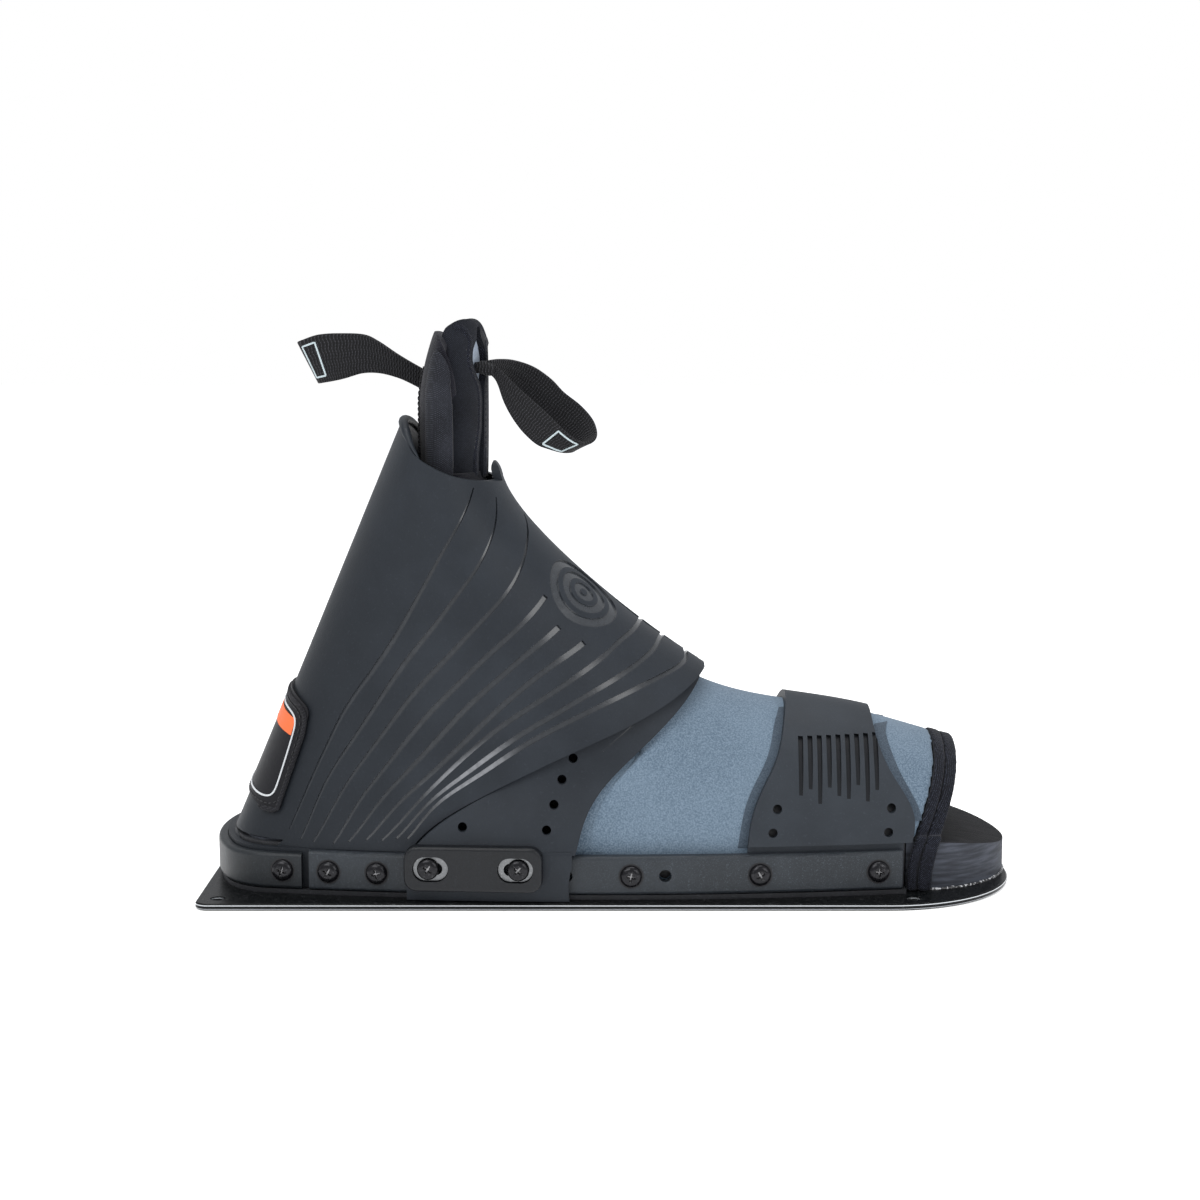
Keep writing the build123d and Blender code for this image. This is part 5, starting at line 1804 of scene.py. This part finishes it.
@dataclass
class HeelPatch:
    """Patch round the heel with a bound, stitched edge, a plain pale outline and an accent bar."""

    low: float = 40.5
    high: float = 87.0
    droop: float = 6.5

    def place(self, skin: Skin, share: float, level: float, lift: float = 0.0) -> Optional[Hit]:
        """Place on the patch.

        Args:
            skin: the patch's surface.
            share: -1 at its left edge to 1 at its right edge.
            level: 0 at its foot to 1 at its top.
            lift: distance off its face, in millimetres.

        Returns:
            Place and outward normal, or None.
        """
        z = self.low + (self.high - self.low) * level - self.droop * abs(share) ** 1.6
        turn = math.radians(share * (55.0 + 3.0 * level))
        out = Vector((-math.cos(turn), -math.sin(turn), 0))
        hit = skin.cast(Vector((-0.110, 0, z * MM)) + out * 0.2, -out)
        return (hit[0] + hit[1] * (lift * MM), hit[1]) if hit else None

    def build(self) -> None:
        """Makes the patch."""
        patch = smooth(paint(node_copy("heel_patch", "heel_patch_cloth"), PATCH_CLOTH), 40)
        seat(patch, "boot", "patch", "heel_patch")
        skin = Skin("heel_patch")
        binding = tape("patch_binding", self.outline(skin, 0.955, 0.02, 0.15), 2.2, 1.2)
        seam = stitches("patch_seam", self.outline(skin, 0.89, 0.06, 0.25)[::2], BLACK_THREAD)
        line = tape("patch_outline", self.outline(skin, 0.82, 0.11, 0.22), 0.9, 0.5, 8)
        for piece in (paint(binding, PATCH_BIND), seam, paint(line, WHITE_LINE)):
            seat(piece, "boot", "patch")
        bar = []
        for level in np.linspace(0.70, 0.85, 6):
            row = [self.place(skin, share, level, 0.12) for share in np.linspace(-0.795, 0.795, 45)]
            bar.append([hit[0] for hit in row if hit])
        accent = lattice("patch_accent", [row for row in bar if len(row) == max(len(r) for r in bar)])
        thicken(accent, 0.4)
        seat(smooth(paint(accent, ACCENT), 50), "boot", "patch")

    def outline(self, skin: Skin, reach: float, margin: float, lift: float) -> list[Hit]:
        """A closed, round-cornered line inside the patch's edge.

        Args:
            skin: the patch's surface.
            reach: share of the way to the side edges.
            margin: distance from foot and top, as a level.
            lift: distance off the patch, in millimetres.

        Returns:
            Places with outward normals, the first repeated at the end.
        """
        turns = np.linspace(0, 2 * math.pi, 1601)
        across = np.sign(np.cos(turns)) * np.abs(np.cos(turns)) ** 0.22 * reach
        levels = 0.5 + np.sign(np.sin(turns)) * np.abs(np.sin(turns)) ** 0.22 * (0.5 - margin)
        steps = np.hypot(np.diff(across) * 60, np.diff(levels) * (self.high - self.low))
        run = np.append(0, np.cumsum(steps))
        ways = np.linspace(0, run[-1], 181)[:-1]
        hits = [self.place(skin, float(a), float(b), lift)
                for a, b in zip(np.interp(ways, run, across), np.interp(ways, run, levels))]
        found = [hit for hit in hits if hit]
        return found + [found[0]]


@dataclass
class Studio:
    """Pale floor and backdrop, soft lamps, and the camera."""

    eye: Point = (-0.005, -0.970, 0.2563)
    tilt: float = 7.74
    lens: float = 65.1

    def build(self) -> None:
        """Makes the surroundings."""
        self.floor()
        self.world()
        self.lamp("key", (-0.55, -0.75, 1.15), (-0.02, 0, 0.08), 0.9, 9.0)
        self.lamp("fill", (0.95, -0.85, 0.70), (0.02, 0, 0.07), 0.8, 5.0)
        self.lamp("top", (0.05, 0.25, 1.25), (0.0, 0, 0.05), 0.9, 7.0)
        self.camera()

    def floor(self) -> None:
        """Large pale floor that fades to white for the camera."""
        bpy.ops.object.select_all(action="DESELECT")
        bpy.ops.mesh.primitive_plane_add(size=12)
        floor = bpy.context.object
        floor.name = "floor"
        floor.location = (0, 0, -0.0002)
        shader = Shader("floor")
        shader.set(Base_Color=(0.90, 0.90, 0.90), Roughness=0.9, Specular_IOR_Level=0.05,
                   Emission_Color=(1.0, 1.0, 1.0), Emission_Strength=0.52)
        floor.data.materials.append(shader.material)

    def world(self) -> None:
        """White for the camera and through clear material, a plain level of light otherwise."""
        world = bpy.data.worlds.new("studio")
        bpy.context.scene.world = world
        world.use_nodes = True
        tree = world.node_tree
        tree.nodes.clear()
        path, seen, plain, white, mix, output = (
            tree.nodes.new(f"ShaderNode{kind}")
            for kind in ("LightPath", "Math", "Background", "Background", "MixShader", "OutputWorld"))
        seen.operation = "MAXIMUM"
        plain.inputs[0].default_value = (0.62, 0.63, 0.65, 1)
        white.inputs[0].default_value = (1, 1, 1, 1)
        for source, target in (
            (path.outputs["Is Camera Ray"], seen.inputs[0]),
            (path.outputs["Is Transmission Ray"], seen.inputs[1]),
            (seen.outputs[0], mix.inputs[0]), (plain.outputs[0], mix.inputs[1]),
            (white.outputs[0], mix.inputs[2]), (mix.outputs[0], output.inputs[0]),
        ):
            tree.links.new(source, target)

    def lamp(self, name: str, place: Point, target: Point, size: float, power: float) -> None:
        """One square soft lamp.

        Args:
            name: its name.
            place: where it stands.
            target: what it faces.
            size: its side.
            power: in watts.
        """
        data = bpy.data.lights.new(name, "AREA")
        data.shape = "SQUARE"
        data.size = size
        data.energy = power
        lamp = bpy.data.objects.new(name, data)
        bpy.context.scene.collection.objects.link(lamp)
        lamp.location = place
        lamp.rotation_euler = (Vector(target) - Vector(place)).to_track_quat("-Z", "Y").to_euler()

    def camera(self) -> None:
        """Camera level with the cuff, looking slightly down."""
        data = bpy.data.cameras.new("view")
        data.lens = self.lens
        data.sensor_width = 36
        camera = bpy.data.objects.new("view", data)
        bpy.context.scene.collection.objects.link(camera)
        camera.location = self.eye
        camera.rotation_euler = (math.radians(90 - self.tilt), 0, 0)
        bpy.context.scene.camera = camera


def main() -> None:
    """Builds the studio and every sub-assembly in order."""
    scene = bpy.context.scene
    scene.view_settings.view_transform = "Standard"
    for assembly in (Studio(), Base(), Rails(), Screws(), Wraps(), Sleeve(), Collar(), PullLoops(),
                     HeelPatch()):
        log.info("building %s", type(assembly).__name__)
        assembly.build()


if __name__ == "__main__":
    main()
